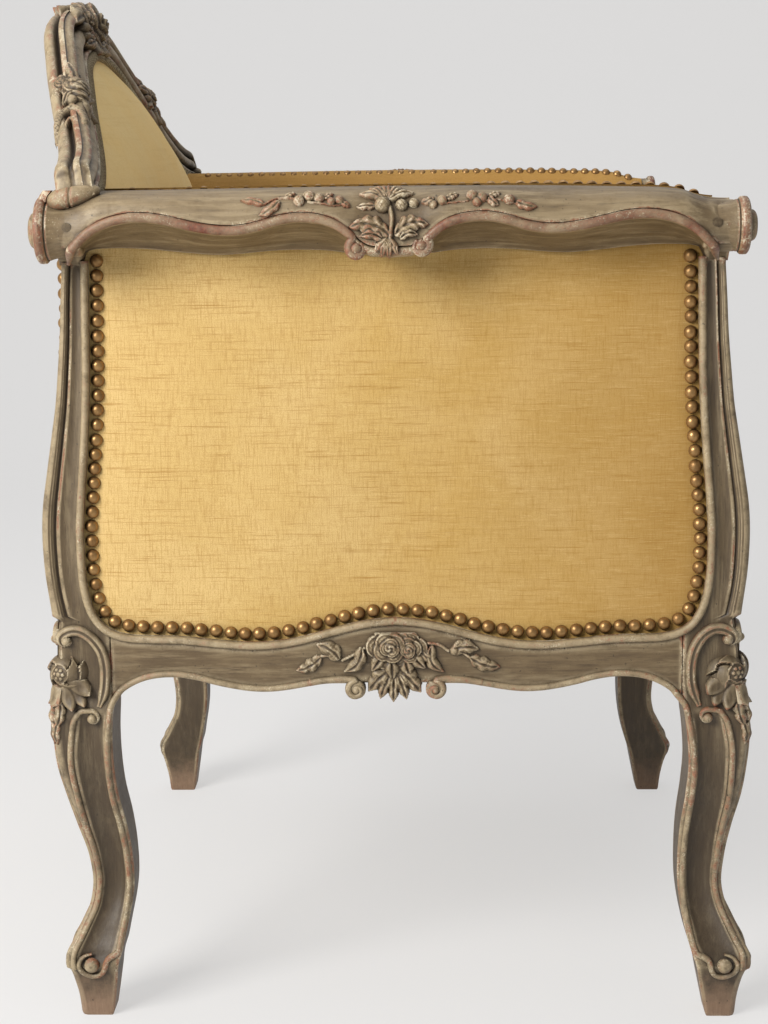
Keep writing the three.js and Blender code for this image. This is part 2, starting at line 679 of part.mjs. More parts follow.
// Tacking rail between the posts of one side.
function sideTackRail(side) {
  const top = tackRailUnder + tackRailHeight;
  const end = Math.min(postReachAt(postFoot)[0], postReachAt(top)[0]) - gap * 2;
  return quarterBlock([postInner, -end, tackRailUnder], [postInner + tackRailDepth, end, top], side, 1);
}

function backTackRail() {
  const end = coverInnerX - backStileWidth - gap;
  const front = backFace(0, tackRailUnder + tackRailHeight) + archTackFront;
  return block([-end, front, tackRailUnder], [end, front + tackRailDepth, tackRailUnder + tackRailHeight]);
}

// A flat plate over the cells of a grid, with upright walls where a filled cell meets an empty one.
function gridPlate(linesX, linesY, filled, low, high) {
  const across = linesX.length;
  const layer = across * linesY.length;
  const points = [low, high].flatMap(
    (z) => linesY.flatMap((y) => linesX.map((x) => new THREE.Vector3(x, y, z))));
  const faces = [];
  const isFilled = (i, j) => i >= 0 && j >= 0 && i < across - 1 && j < linesY.length - 1 && filled(i, j);
  for (let j = 0; j < linesY.length - 1; j++) {
    for (let i = 0; i < across - 1; i++) {
      if (!isFilled(i, j)) continue;
      const corner = [j * across + i, j * across + i + 1, (j + 1) * across + i + 1, (j + 1) * across + i];
      const [a, b, c, d] = corner;
      faces.push([a, c, b], [a, d, c], [a + layer, b + layer, c + layer], [a + layer, c + layer, d + layer]);
      [[0, -1], [1, 0], [0, 1], [-1, 0]].forEach(([di, dj], side) => {
        if (isFilled(i + di, j + dj)) return;
        const from = corner[side];
        const to = corner[(side + 1) % 4];
        faces.push([from, to, to + layer], [from, to + layer, from + layer]);
      });
    }
  }
  const used = [...new Set(faces.flat())];
  const renumber = new Map(used.map((id, k) => [id, k]));
  return solid(used.map((id) => points[id]), faces.map((face) => face.map((id) => renumber.get(id))));
}

// Crossed webbing, tacked to the ledges of the seat rails.
function seatWebbing() {
  const lines = (reach) => {
    const edges = [];
    for (let k = 0; k < webCount; k++) {
      const at = (k - (webCount - 1) / 2) * webPitch;
      edges.push(at - webWidth / 2, at + webWidth / 2);
    }
    return [-reach, ...edges, reach];
  };
  const reachX = frameHalfWidth - railDepth + ledgeWidth * 0.85;
  const reachY = frameHalfDepth - railDepth + ledgeWidth * 0.85;
  const inStrip = (k) => k % 2 === 1;
  const low = seatLedge + gap;
  return gridPlate(lines(reachX), lines(reachY), (i, j) => inStrip(i) || inStrip(j), low, low + webThick);
}

// Rounded bulge over a unit square, one in the middle and nothing at the edge.
function bulge(u, v) {
  return (1 - (2 * u - 1) ** 4) * (1 - (2 * v - 1) ** 4);
}

// Outer cover of a side, set in the rebate between the posts, the rail and the arm.
function sideCover(side) {
  const levels = [postFoot + bead, ...postLevels.slice(2), armUnder + armCove - coverEase];
  const rows = levels.length + 1;
  const outline = (u, v) => {
    const row = Math.round(v * rows);
    const along = 2 * u - 1;
    const low = railTopAt(along) + coverEase;
    if (row < 2) return [along * (innerFaceY - coverEase), row ? postFoot + gap : low];
    const height = levels[row - 2];
    const [inner, outer] = postReachAt(height);
    return [along * (THREE.MathUtils.lerp(inner, outer, postRebateShare) - coverEase), height];
  };
  const surface = (lift, crown) => (u, v) => {
    const [y, height] = outline(u, v);
    return new THREE.Vector3(side * (frameHalfWidth - rebate + gap + lift + crown * bulge(u, v)), y, height);
  };
  return slab(surface(coverThick, coverCrown), surface(0, 0), 12, rows);
}

// Cover between the front rail's bead and the seat deck.
function frontBorder() {
  const surface = (lift) => (u, v) => {
    const along = 2 * u - 1;
    const high = seatLedge + tackStrip + bead;
    return new THREE.Vector3(along * (innerFaceX - gap * 2), -(frameHalfDepth - rebate + gap + lift),
      THREE.MathUtils.lerp(railTopAt(along) + gap, high, v));
  };
  return slab(surface(coverThick), surface(0), railSteps * 2, 1);
}

// Outer cover of the back, from the rail up into the rear of the arch.
function backCover() {
  const rows = 13;
  const depth = archTackBack / Math.cos(Math.atan(backSlope)) + gap * 2;
  const surface = (lift, crown) => (u, v) => {
    const along = 2 * u - 1;
    const x = along * (v === 0 ? innerFaceX - coverEase : coverInnerX - gap);
    const top = archEdge(x, depth + coverThick);
    const low = v === 0 ? railTopAt(x / innerFaceX) + coverEase : postFoot + bead;
    const height = THREE.MathUtils.lerp(low, top, v);
    const share = (height - seatLedge) / (armTop - seatLedge);
    const swell = backCoverSwell * follow(backCoverShares, THREE.MathUtils.clamp(share, 0, 1));
    const face = backFace(x, Math.max(height, armTop)) + depth;
    return new THREE.Vector3(x, face + swell + lift + crown * bulge(u, v), height);
  };
  return slab(surface(backCoverThick, coverCrown), surface(0, 0), 14, rows);
}

// Sackcloth that carries the stuffing of an arm.
function armHessian(side) {
  return quarterBlock([postInner - gap - hessianThick, -armPadFront + bead, tackRailUnder],
    [postInner - gap, armHessianBack, armPadTop - coverEase], side, 1);
}

// Stuffed inside of an arm; its rear end leans with the back.
function armPad(side) {
  const surface = (thick, crown) => (u, v) => {
    const height = THREE.MathUtils.lerp(padFoot, armPadTop, v);
    const rear = backFace(armPadOuter, height) + backPadDepth;
    const inner = armPadOuter - thick - crown * bulge(u, v);
    return new THREE.Vector3(side * inner, THREE.MathUtils.lerp(-armPadFront, rear, u), height);
  };
  return slab(surface(armPadEdge, armPadCrown), surface(0, 0), 10, 7);
}

// Sackcloth of the back, and the stuffed pad on it.
function backHessian() {
  const front = backPadDepth + coverEase + gap;
  const surface = (depth) => (u, v) => {
    const x = (2 * u - 1) * (postInner - beadWidth);
    const height = THREE.MathUtils.lerp(tackRailUnder, archEdge(x, depth), v);
    return new THREE.Vector3(x, backFace(x, height) + depth, height);
  };
  return slab(surface(front), surface(front + hessianThick), 12, 10);
}

function backPad() {
  const surface = (depth, crown) => (u, v) => {
    const x = (2 * u - 1) * backPadHalfWidth;
    const height = THREE.MathUtils.lerp(padFoot, archEdge(x, depth), v);
    return new THREE.Vector3(x, backFace(x, height) + depth - crown * bulge(u, v), height);
  };
  return slab(surface(-backPadEdge, backPadCrown), surface(backPadDepth, 0), 12, 12);
}

// Stuffed deck on the webbing; its front lip lies over the front rail.
function seatDeck() {
  const lip = frameHalfDepth - railDepth;
  const rows = [-deckFront, -lip - bead, -lip + bead];
  const rest = 7;
  for (let k = 1; k <= rest; k++) rows.push(THREE.MathUtils.lerp(-lip + bead, deckBackEdge, k / rest));
  const count = rows.length - 1;
  const spot = (u, v) => [(2 * u - 1) * deckHalfWidth, rows[Math.round(v * count)]];
  const top = (u, v) => {
    const [x, y] = spot(u, v);
    return new THREE.Vector3(x, y, deckTop + deckCrown * bulge(u, v));
  };
  const under = (u, v) => {
    const [x, y] = spot(u, v);
    const lifted = y < -lip ? tackStrip + bead + gap : webThick + gap * 2;
    return new THREE.Vector3(x, y, seatLedge + lifted);
  };
  return slab(top, under, 12, count);
}

// Loose cushion: rounded corners, sides drawn in between them, boxed edge and crown.
function seatCushion() {
  const middle = (cushionBack - cushionFront) / 2;
  const halfDepth = (cushionBack + cushionFront) / 2;
  const outline = [];
  for (let k = 0; k < cushionSides; k++) {
    const turn = (2 * Math.PI * (k + 0.5)) / cushionSides;
    const c = Math.cos(turn);
    const s = Math.sin(turn);
    const power = Math.abs(c) ** cushionSquareness + Math.abs(s) ** cushionSquareness;
    const reach = power ** (-1 / cushionSquareness);
    const draw = (cushionDraw * Math.cos(2 * turn) ** 2) / cushionHalfWidth;
    outline.push([c * reach * (1 - draw), s * reach * (1 - draw)]);
  }
  const reachX = cushionHalfWidth - gap * 10;
  const reachY = halfDepth - gap * 10;
  const rings = cushionRingShares.map(([out, up]) => outline.map(([x, y]) => new THREE.Vector3(
    x * out * reachX, middle + y * out * reachY, cushionFoot + cushionThick * up)));
  return loft(rings);
}

for (const [end, sideY] of [['front', -1], ['back', 1]]) {
  for (const [hand, sideX] of [['right', -1], ['left', 1]]) {
    add(`${end}_corner_post_${hand}`, cornerPost(sideX, sideY), paintedWood);
    add(`${end}_arm_peg_${hand}`, armPeg(sideX, sideY, 0), bareWood);
    add(`${end}_corner_block_${hand}`, cornerBlock(sideX, sideY), bareWood);
  }
  add(`${end}_seat_rail`, crossSeatRail(sideY), paintedWood);
}
for (const [hand, side] of [['right', -1], ['left', 1]]) {
  add(`side_seat_rail_${hand}`, sideSeatRail(side), paintedWood);
  add(`arm_rail_${hand}`, armRail(side), paintedWood);
  add(`back_stile_${hand}`, backStile(side), paintedWood);
  add(`arm_tack_rail_${hand}`, sideTackRail(side), bareWood);
  add(`side_cover_${hand}`, sideCover(side), velvet);
  add(`arm_hessian_${hand}`, armHessian(side), sackcloth);
  add(`arm_pad_${hand}`, armPad(side), velvet);
}
add('crest_rail', crestRail(), paintedWood);
add('back_tack_rail', backTackRail(), bareWood);
add('seat_webbing', seatWebbing(), jute);
add('seat_deck', seatDeck(), velvet);
add('front_border', frontBorder(), velvet);
add('back_hessian', backHessian(), sackcloth);
add('back_pad', backPad(), paleVelvet);
add('back_cover', backCover(), velvet);
add('seat_cushion', seatCushion(), velvet);

// The origin lies on the floor, midway between the chair's front and back.
const extent = new THREE.Box3().setFromObject(chair);
chair.position.y = -(extent.min.y + extent.max.y) / 2;

export default chair;
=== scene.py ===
"""Painted bergere chair: carved and worn wood, velvet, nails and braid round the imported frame."""
import json
import math

import bmesh
import bpy
import numpy as np
from mathutils import Matrix, Vector

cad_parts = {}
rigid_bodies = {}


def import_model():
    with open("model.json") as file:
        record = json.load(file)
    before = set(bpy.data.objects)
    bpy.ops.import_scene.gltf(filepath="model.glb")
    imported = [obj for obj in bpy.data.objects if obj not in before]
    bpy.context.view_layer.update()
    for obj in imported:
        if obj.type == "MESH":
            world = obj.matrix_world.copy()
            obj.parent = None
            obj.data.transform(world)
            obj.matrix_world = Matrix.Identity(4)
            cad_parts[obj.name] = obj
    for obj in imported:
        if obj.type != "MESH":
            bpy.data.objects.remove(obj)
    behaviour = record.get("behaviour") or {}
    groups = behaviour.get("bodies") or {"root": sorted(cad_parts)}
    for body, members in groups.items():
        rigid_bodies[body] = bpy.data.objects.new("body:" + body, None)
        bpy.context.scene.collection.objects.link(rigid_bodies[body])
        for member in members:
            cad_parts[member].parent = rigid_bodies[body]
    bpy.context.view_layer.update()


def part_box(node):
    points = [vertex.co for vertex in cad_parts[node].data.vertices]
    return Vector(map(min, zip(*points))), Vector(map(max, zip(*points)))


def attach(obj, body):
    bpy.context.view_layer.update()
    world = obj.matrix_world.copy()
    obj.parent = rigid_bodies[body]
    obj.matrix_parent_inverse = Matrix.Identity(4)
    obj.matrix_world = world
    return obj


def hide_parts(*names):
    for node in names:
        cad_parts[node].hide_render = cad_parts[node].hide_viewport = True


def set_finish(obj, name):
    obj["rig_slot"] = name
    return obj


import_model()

# All shapes are worked out in millimetres, from the middle of the side frames, and placed in metres
MM = 0.001
rail_low, rail_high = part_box("side_seat_rail_right")
MID_Y = (rail_low.y + rail_high.y) / 2

# The frame, as the solids have it
HALF_WIDTH = 320.0
HALF_DEPTH = 285.0
KNEE = 47.0                 # thickness of a corner post where the rails meet it
POST_DEPTH = 38.0
REBATE = 13.0               # step behind the outer covers
RAIL_DEPTH = 45.0
SEAT_LEDGE = 352.0
POST_FOOT = 356.0
ARM_UNDER = 645.0
ARM_TOP = 705.0
ROLL_OUT = 46.0
ROLL_RADIUS = 24.5
TACK_STRIP = 12.0
GAP = 0.3

# Mouldings
RAIL_FLAT = 3.0             # depth of a rail's face behind its beads
BEAD_WIDTH = 6.5
BEAD_RISE = 3.2
COVER_FACE = 309.5          # side cover at its edge, from the middle of the chair
COVER_CROWN = 5.0
COVER_THICK = 3.0
NAIL_RADIUS = 5.6
NAIL_PITCH = 12.2
NAIL_RISE = 4.6
NAIL_INSET = 9.0            # from a cover's edge to the row of its nails

# Back: the inner cover's edge plane and arch
BACK_FACE = 246.6
BACK_SLOPE = 0.34
LOWER_SLOPE = 0.06
BACK_BEND = 12.0
BACK_BOW = 10.6
ARCH_HALF = 345.0
ARCH_FACE = 42.0
ARCH_FRONT = 6.0
ARCH_BACK = 23.0
CREST_HALF = 165.0

# Corner post: [height, back outer, front outer, back inner, front inner] from the middle of the side
LEG_EDGES = [
    (0, 275, 289, 247, 264), (20, 277, 291, 244, 260), (35, 280, 294, 242, 257),
    (50, 283, 298, 240, 254), (60, 281.5, 296.5, 237, 250.5), (70, 276, 291, 235, 247.5),
    (80, 271, 286, 233, 245), (95, 264, 279, 230, 242), (110, 261, 275, 228, 240),
    (140, 263, 276, 228, 239), (170, 271, 281, 231, 240), (200, 279, 288, 236, 243),
    (225, 285, 291.5, 238, 244.5), (250, 287.5, 293.5, 238.5, 243), (275, 288, 292, 237.5, 240),
    (300, 287, 289, 238, 238), (325, 286, 288, 238, 238), (345, 285, 285, 238, 238),
    (352, 284, 284, 238, 238),
]
SWEEP_TO_X = 32.0           # how much further out than that the leg stands in X
# Post above the seat: [height, outer edge, inner edge of the moulded face]
POST_EDGES = [
    (345, 285, 245), (360, 286.4, 252.5), (375, 288.2, 257.6), (390, 290, 259.4), (410, 291.2, 260.1),
    (430, 291.3, 260), (450, 289.8, 258.5), (470, 286.6, 256.7), (490, 283.2, 254.8),
    (510, 279.8, 253.1), (530, 276.4, 251.7), (560, 273, 250.2), (590, 270.1, 249.3),
    (620, 268.2, 248.9), (645, 266.4, 248.2),
]
# Inner bead round the cover, from the middle of the rail up to the arm: [from the middle, height]
PANEL_EDGE = [
    (0, 351), (20, 349.2), (40, 345.1), (60, 339.6), (75, 335.5), (90, 332.5), (105, 330.7),
    (120, 330.2), (150, 332.3), (180, 335.3), (205, 336), (222, 337), (234, 340), (244.5, 346.5),
    (252, 357), (256.5, 370), (259.3, 388), (260.1, 410), (260, 430), (258.5, 450), (254.8, 490),
    (251.7, 530), (250.2, 560), (249.2, 600), (248.2, 650),
]
# Lower edge of a seat rail, round the arch and down the leg's inner edge
RAIL_UNDER = [
    (36, 297.6), (60, 297), (75, 294.6), (90, 292), (105, 290.4), (120, 290.8), (135, 293),
    (150, 296.2), (165, 300.2), (180, 302.7), (195, 302.8), (210, 300.1), (222, 295), (231, 288.5),
    (236, 281),
]
# Seat rail edges along half a rail: [from the middle, lower edge, top bead]
RAIL_EDGES = [
    (0, 297.5, 351), (20, 297.5, 349.2), (40, 297.5, 345.1), (60, 297, 339.6), (75, 294.6, 335.5),
    (90, 292, 332.5), (105, 290.4, 330.7), (120, 290.8, 330.2), (135, 293, 330.8), (150, 296.2, 332.3),
    (165, 300.2, 334.1), (180, 302.7, 335.3), (195, 302.8, 335.8), (210, 300.1, 336.2), (222, 295, 337),
    (232, 288.5, 339), (238, 283, 342),
]
# Lower lip of the arm's roll, and the cove line under it: [from the middle, height]
LIP = [
    (0, 655), (14, 657), (24, 662), (30, 668.6), (40, 676.6), (50, 681), (62, 683.4), (75, 683.8),
    (90, 681.3), (105, 676.9), (120, 674.4), (135, 674.6), (150, 676.7), (165, 680), (180, 683.3),
    (195, 684.8), (210, 683.8), (225, 679.5), (235, 674.2), (245, 665.1), (252, 657), (257, 648),
    (262, 645.5), (285, 645.5),
]
COVE = [
    (0, 652), (30, 654), (50, 656.6), (75, 657.6), (90, 657.3), (120, 654.9), (135, 653.9),
    (165, 655.8), (195, 658.9), (225, 659.9), (240, 659), (262, 650),
]
# Arch of the back's inner edge: [from the middle, height]
ARCH = [
    (-48, 820), (0, 824.5), (48, 820), (98, 806.5), (124, 792), (158, 773), (185, 755), (216, 735),
    (260, 716), (300, 707), (345, 702),
]


def follow(table, at, column=1):
    """Smooth values read from one column of rows that start with a place."""
    rows = np.array(table, float)
    place, value = rows[:, 0], rows[:, column]
    at = np.clip(np.asarray(at, float), place[0], place[-1])
    slope = np.gradient(value, place)
    k = np.clip(np.searchsorted(place, at, side="right") - 1, 0, len(place) - 2)
    span = place[k + 1] - place[k]
    t = (at - place[k]) / span
    return (value[k] * (1 + 2 * t) * (1 - t) ** 2 + value[k + 1] * t * t * (3 - 2 * t)
            + span * (slope[k] * t * (1 - t) ** 2 - slope[k + 1] * t * t * (1 - t)))


def smooth_step(value, low, high):
    t = np.clip((np.asarray(value, float) - low) / (high - low), 0, 1)
    return t * t * (3 - 2 * t)


def run_length(path):
    """How far along a path each of its points lies."""
    return np.r_[0, np.cumsum(np.linalg.norm(np.diff(path, axis=0), axis=1))]


def smooth_path(points, spacing):
    """Points an even distance apart on a smooth curve through the given ones."""
    points = np.array(points, float)
    reach = run_length(points)
    dense = np.linspace(0, reach[-1], max(int(reach[-1] / spacing) * 4, 8))
    curve = np.stack([follow(np.c_[reach, points[:, k]], dense) for k in range(points.shape[1])], 1)
    length = run_length(curve)
    even = np.linspace(0, length[-1], max(int(round(length[-1] / spacing)) + 1, 2))
    return np.stack([np.interp(even, length, curve[:, k]) for k in range(curve.shape[1])], 1)


def unit(vectors):
    return vectors / np.maximum(np.linalg.norm(vectors, axis=-1, keepdims=True), 1e-9)


def full_turn(steps):
    """Angles of an even round, without its end."""
    return np.arange(steps) * 2 * math.pi / steps


def all_facing(direction, path):
    """The same normal for every point of a path."""
    return np.repeat([np.array(direction, float)], len(path), 0)


# Meshes

def make_object(name, points, faces, look):
    """A piece from points in millimetres; its faces are turned outwards."""
    mesh = bpy.data.meshes.new(name)
    placed = np.asarray(points, float).reshape(-1, 3) * MM
    placed[:, 1] += MID_Y
    mesh.from_pydata(placed.tolist(), [], faces)
    work = bmesh.new()
    work.from_mesh(mesh)
    bmesh.ops.recalc_face_normals(work, faces=work.faces)
    work.to_mesh(mesh)
    work.free()
    mesh.polygons.foreach_set("use_smooth", [True] * len(mesh.polygons))
    piece = bpy.data.objects.new(name, mesh)
    bpy.context.scene.collection.objects.link(piece)
    mesh.set_sharp_from_angle(angle=math.radians(60))
    mesh.materials.append(look)
    if look.name.startswith("painted"):
        mark_edges(mesh)
    return piece


def mark_edges(mesh):
    """Keeps at each point how sharply the surface turns there: positive on edges, negative in hollows."""
    count = len(mesh.vertices)
    ends = np.zeros(len(mesh.edges) * 2, int)
    mesh.edges.foreach_get("vertices", ends)
    ends = ends.reshape(-1, 2)
    places, normals = np.zeros(count * 3), np.zeros(count * 3)
    mesh.vertices.foreach_get("co", places)
    mesh.vertices.foreach_get("normal", normals)
    places, normals = places.reshape(-1, 3), normals.reshape(-1, 3)
    away = unit(places[ends[:, 1]] - places[ends[:, 0]])
    pull, meets = np.zeros((count, 3)), np.zeros(count)
    for a, b, sign in ((0, 1, 1), (1, 0, -1)):
        for axis in range(3):
            pull[:, axis] += np.bincount(ends[:, a], sign * away[:, axis], count)
        meets += np.bincount(ends[:, a], minlength=count)
    turn = -np.sum(pull * normals, 1) / np.maximum(meets, 1)
    near = sum(np.bincount(ends[:, a], turn[ends[:, b]], count) for a, b in ((0, 1), (1, 0)))
    turn = 0.6 * turn + 0.4 * near / np.maximum(meets, 1)
    mesh.attributes.new("turned", "FLOAT", "POINT").data.foreach_set("value", turn.astype(np.float32))


def finish_piece(piece, slot_name, *nodes):
    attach(piece, "root")
    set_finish(piece, slot_name)
    if nodes:
        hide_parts(*nodes)
    return piece


def eased(rings):
    """The rings with two more points near the ends of every long side, which keep the wear close to edges."""
    reach, longest = 1.8, 7.0
    rings = np.asarray(rings, float)
    after = np.roll(rings, -1, 1)
    span = np.linalg.norm(after - rings, axis=2)
    columns = []
    for i in range(rings.shape[1]):
        columns.append(rings[:, i])
        if span[:, i].max() > longest:
            share = np.minimum(reach / np.maximum(span[:, i], 1e-6), 0.3)[:, None]
            columns.append(rings[:, i] * (1 - share) + after[:, i] * share)
            columns.append(rings[:, i] * share + after[:, i] * (1 - share))
    return np.stack(columns, 1)


def loft(rings):
    """Points and faces of a closed body through rings of equally many points."""
    rings = np.asarray(rings, float)
    count = rings.shape[1]
    faces = []
    for r in range(len(rings) - 1):
        for i in range(count):
            a, b = r * count + i, r * count + (i + 1) % count
            faces.append((a, b, b + count, a + count))
    faces.append(tuple(range(count))[::-1])
    faces.append(tuple((len(rings) - 1) * count + i for i in range(count)))
    return rings.reshape(-1, 3), faces


def joined(parts):
    """Several (points, faces) as one."""
    points, faces, start = [], [], 0
    for some, sides in parts:
        points.append(np.asarray(some, float).reshape(-1, 3))
        faces.extend(tuple(i + start for i in side) for side in sides)
        start += len(points[-1])
    return np.concatenate(points), faces


def closed_patch(front, back, keep=None):
    """A closed sheet between two grids of points; keep says which cells of the grid it has."""
    rows, cols = front.shape[:2]
    layer = rows * cols
    if keep is None:
        keep = np.ones((rows - 1, cols - 1), bool)
    faces, edges = [], {}
    for r, c in zip(*np.nonzero(keep)):
        quad = (r * cols + c, r * cols + c + 1, (r + 1) * cols + c + 1, (r + 1) * cols + c)
        faces.append(quad)
        faces.append(tuple(i + layer for i in quad[::-1]))
        for k in range(4):
            a, b = quad[k], quad[(k + 1) % 4]
            if (b, a) in edges:
                del edges[(b, a)]
            else:
                edges[(a, b)] = True
    for a, b in edges:
        faces.append((b, a, a + layer, b + layer))
    points = np.concatenate([front.reshape(-1, 3), back.reshape(-1, 3)])
    used = sorted({i for face in faces for i in face})
    place = {old: new for new, old in enumerate(used)}
    return points[used], [tuple(place[i] for i in face) for face in faces]


def sweep(path, normals, section):
    """A section of (across, out) rows carried along a path of points with outward normals."""
    path, normals = np.asarray(path, float), unit(np.asarray(normals, float))
    along = unit(np.gradient(path, axis=0))
    across = unit(np.cross(along, normals))
    section = np.asarray(section, float)
    if section.ndim == 2:
        section = np.repeat(section[None], len(path), 0)
    rings = (path[:, None] + across[:, None] * section[..., :1] + normals[:, None] * section[..., 1:])
    return loft(rings)


def half_round(width, rise, steps, sunk=1.5):
    """Section of a bead that stands on a surface."""
    turn = np.linspace(0, math.pi, steps)
    return np.r_[np.c_[np.cos(turn) * width / 2, np.sin(turn) * rise],
                 [[-width / 2, -sunk], [width / 2, -sunk]]]


def mirrored(parts, side):
    """Several (points, faces) as one, on the +X side for 1 and on the -X side for -1."""
    points, faces = joined(parts)
    points[:, 0] *= side
    return points, faces


# Materials

def linear(red, green, blue, alpha=1.0):
    """A colour given as it looks on a screen, 0 to 255."""
    def one(c):
        c /= 255
        return c / 12.92 if c <= 0.04045 else ((c + 0.055) / 1.055) ** 2.4
    return one(red), one(green), one(blue), alpha


class Nodes:
    """A short way to lay out a material's nodes."""

    def __init__(self, name, roughness):
        self.material = bpy.data.materials.new(name)
        self.material.use_nodes = True
        self.tree = self.material.node_tree
        self.shader = self.tree.nodes["Principled BSDF"]
        self.feed(self.shader, Roughness=roughness)
        self.place = self.add("ShaderNodeTexCoord").outputs["Object"]

    def add(self, kind, **settings):
        node = self.tree.nodes.new(kind)
        for key, value in settings.items():
            setattr(node, key, value)
        return node

    def give(self, socket, value):
        """Joins another node's socket to this one, or sets it to a plain value."""
        if isinstance(value, bpy.types.NodeSocket):
            self.tree.links.new(value, socket)
        else:
            socket.default_value = value

    def feed(self, node, **inputs):
        for key, value in inputs.items():
            self.give(node.inputs[key.replace("_", " ")], value)
        return node

    def scaled(self, x, y, z):
        """The place, stretched along each axis."""
        mapping = self.feed(self.add("ShaderNodeMapping"), Vector=self.place, Scale=(x, y, z))
        return mapping.outputs["Vector"]

    def noise(self, scale, detail, rough, place=None, warp=0.0):
        node = self.feed(self.add("ShaderNodeTexNoise"), Vector=place or self.place, Scale=scale,
                         Detail=detail, Roughness=rough, Distortion=warp)
        return node.outputs["Fac"]

    def openness(self, distance, samples):
        """1 on open ground, less in hollows and corners."""
        node = self.feed(self.add("ShaderNodeAmbientOcclusion", samples=samples), Distance=distance)
        return node.outputs["AO"]

    def split(self, axis):
        """One coordinate of the place, in metres."""
        apart = self.add("ShaderNodeSeparateXYZ")
        self.give(apart.inputs[0], self.place)
        return apart.outputs[axis]

    def ramp(self, value, *stops):
        node = self.add("ShaderNodeValToRGB")
        self.give(node.inputs["Fac"], value)
        elements = node.color_ramp.elements
        while len(elements) < len(stops):
            elements.new(0.5)
        for element, (at, level) in zip(elements, stops):
            element.position = at
            element.color = (level, level, level, 1)
        return node.outputs["Color"]

    def reckon(self, operation, a, b):
        node = self.add("ShaderNodeMath", operation=operation)
        for socket, value in zip(node.inputs, (a, b)):
            self.give(socket, value)
        return node.outputs[0]

    def plus(self, a, b):
        return self.reckon("ADD", a, b)

    def times(self, a, b):
        return self.reckon("MULTIPLY", a, b)

    def swing(self, value, amount):
        """How far a noise lies from its middle, times an amount."""
        return self.times(self.reckon("SUBTRACT", value, 0.5), amount)

    def mix(self, share, a, b):
        node = self.add("ShaderNodeMix", data_type="RGBA")
        for socket, value in zip((node.inputs[0], node.inputs[6], node.inputs[7]), (share, a, b)):
            self.give(socket, value)
        return node.outputs[2]

    def coat(self, colour, *coats):
        """Lays further colours over one, each as strongly as its value's ramp says."""
        for value, stops, over in coats:
            colour = self.mix(self.ramp(value, *stops), colour, over)
        return colour

    def bump(self, height, strength, distance):
        node = self.feed(self.add("ShaderNodeBump"), Height=height, Strength=strength, Distance=distance)
        self.feed(self.shader, Normal=node.outputs["Normal"])


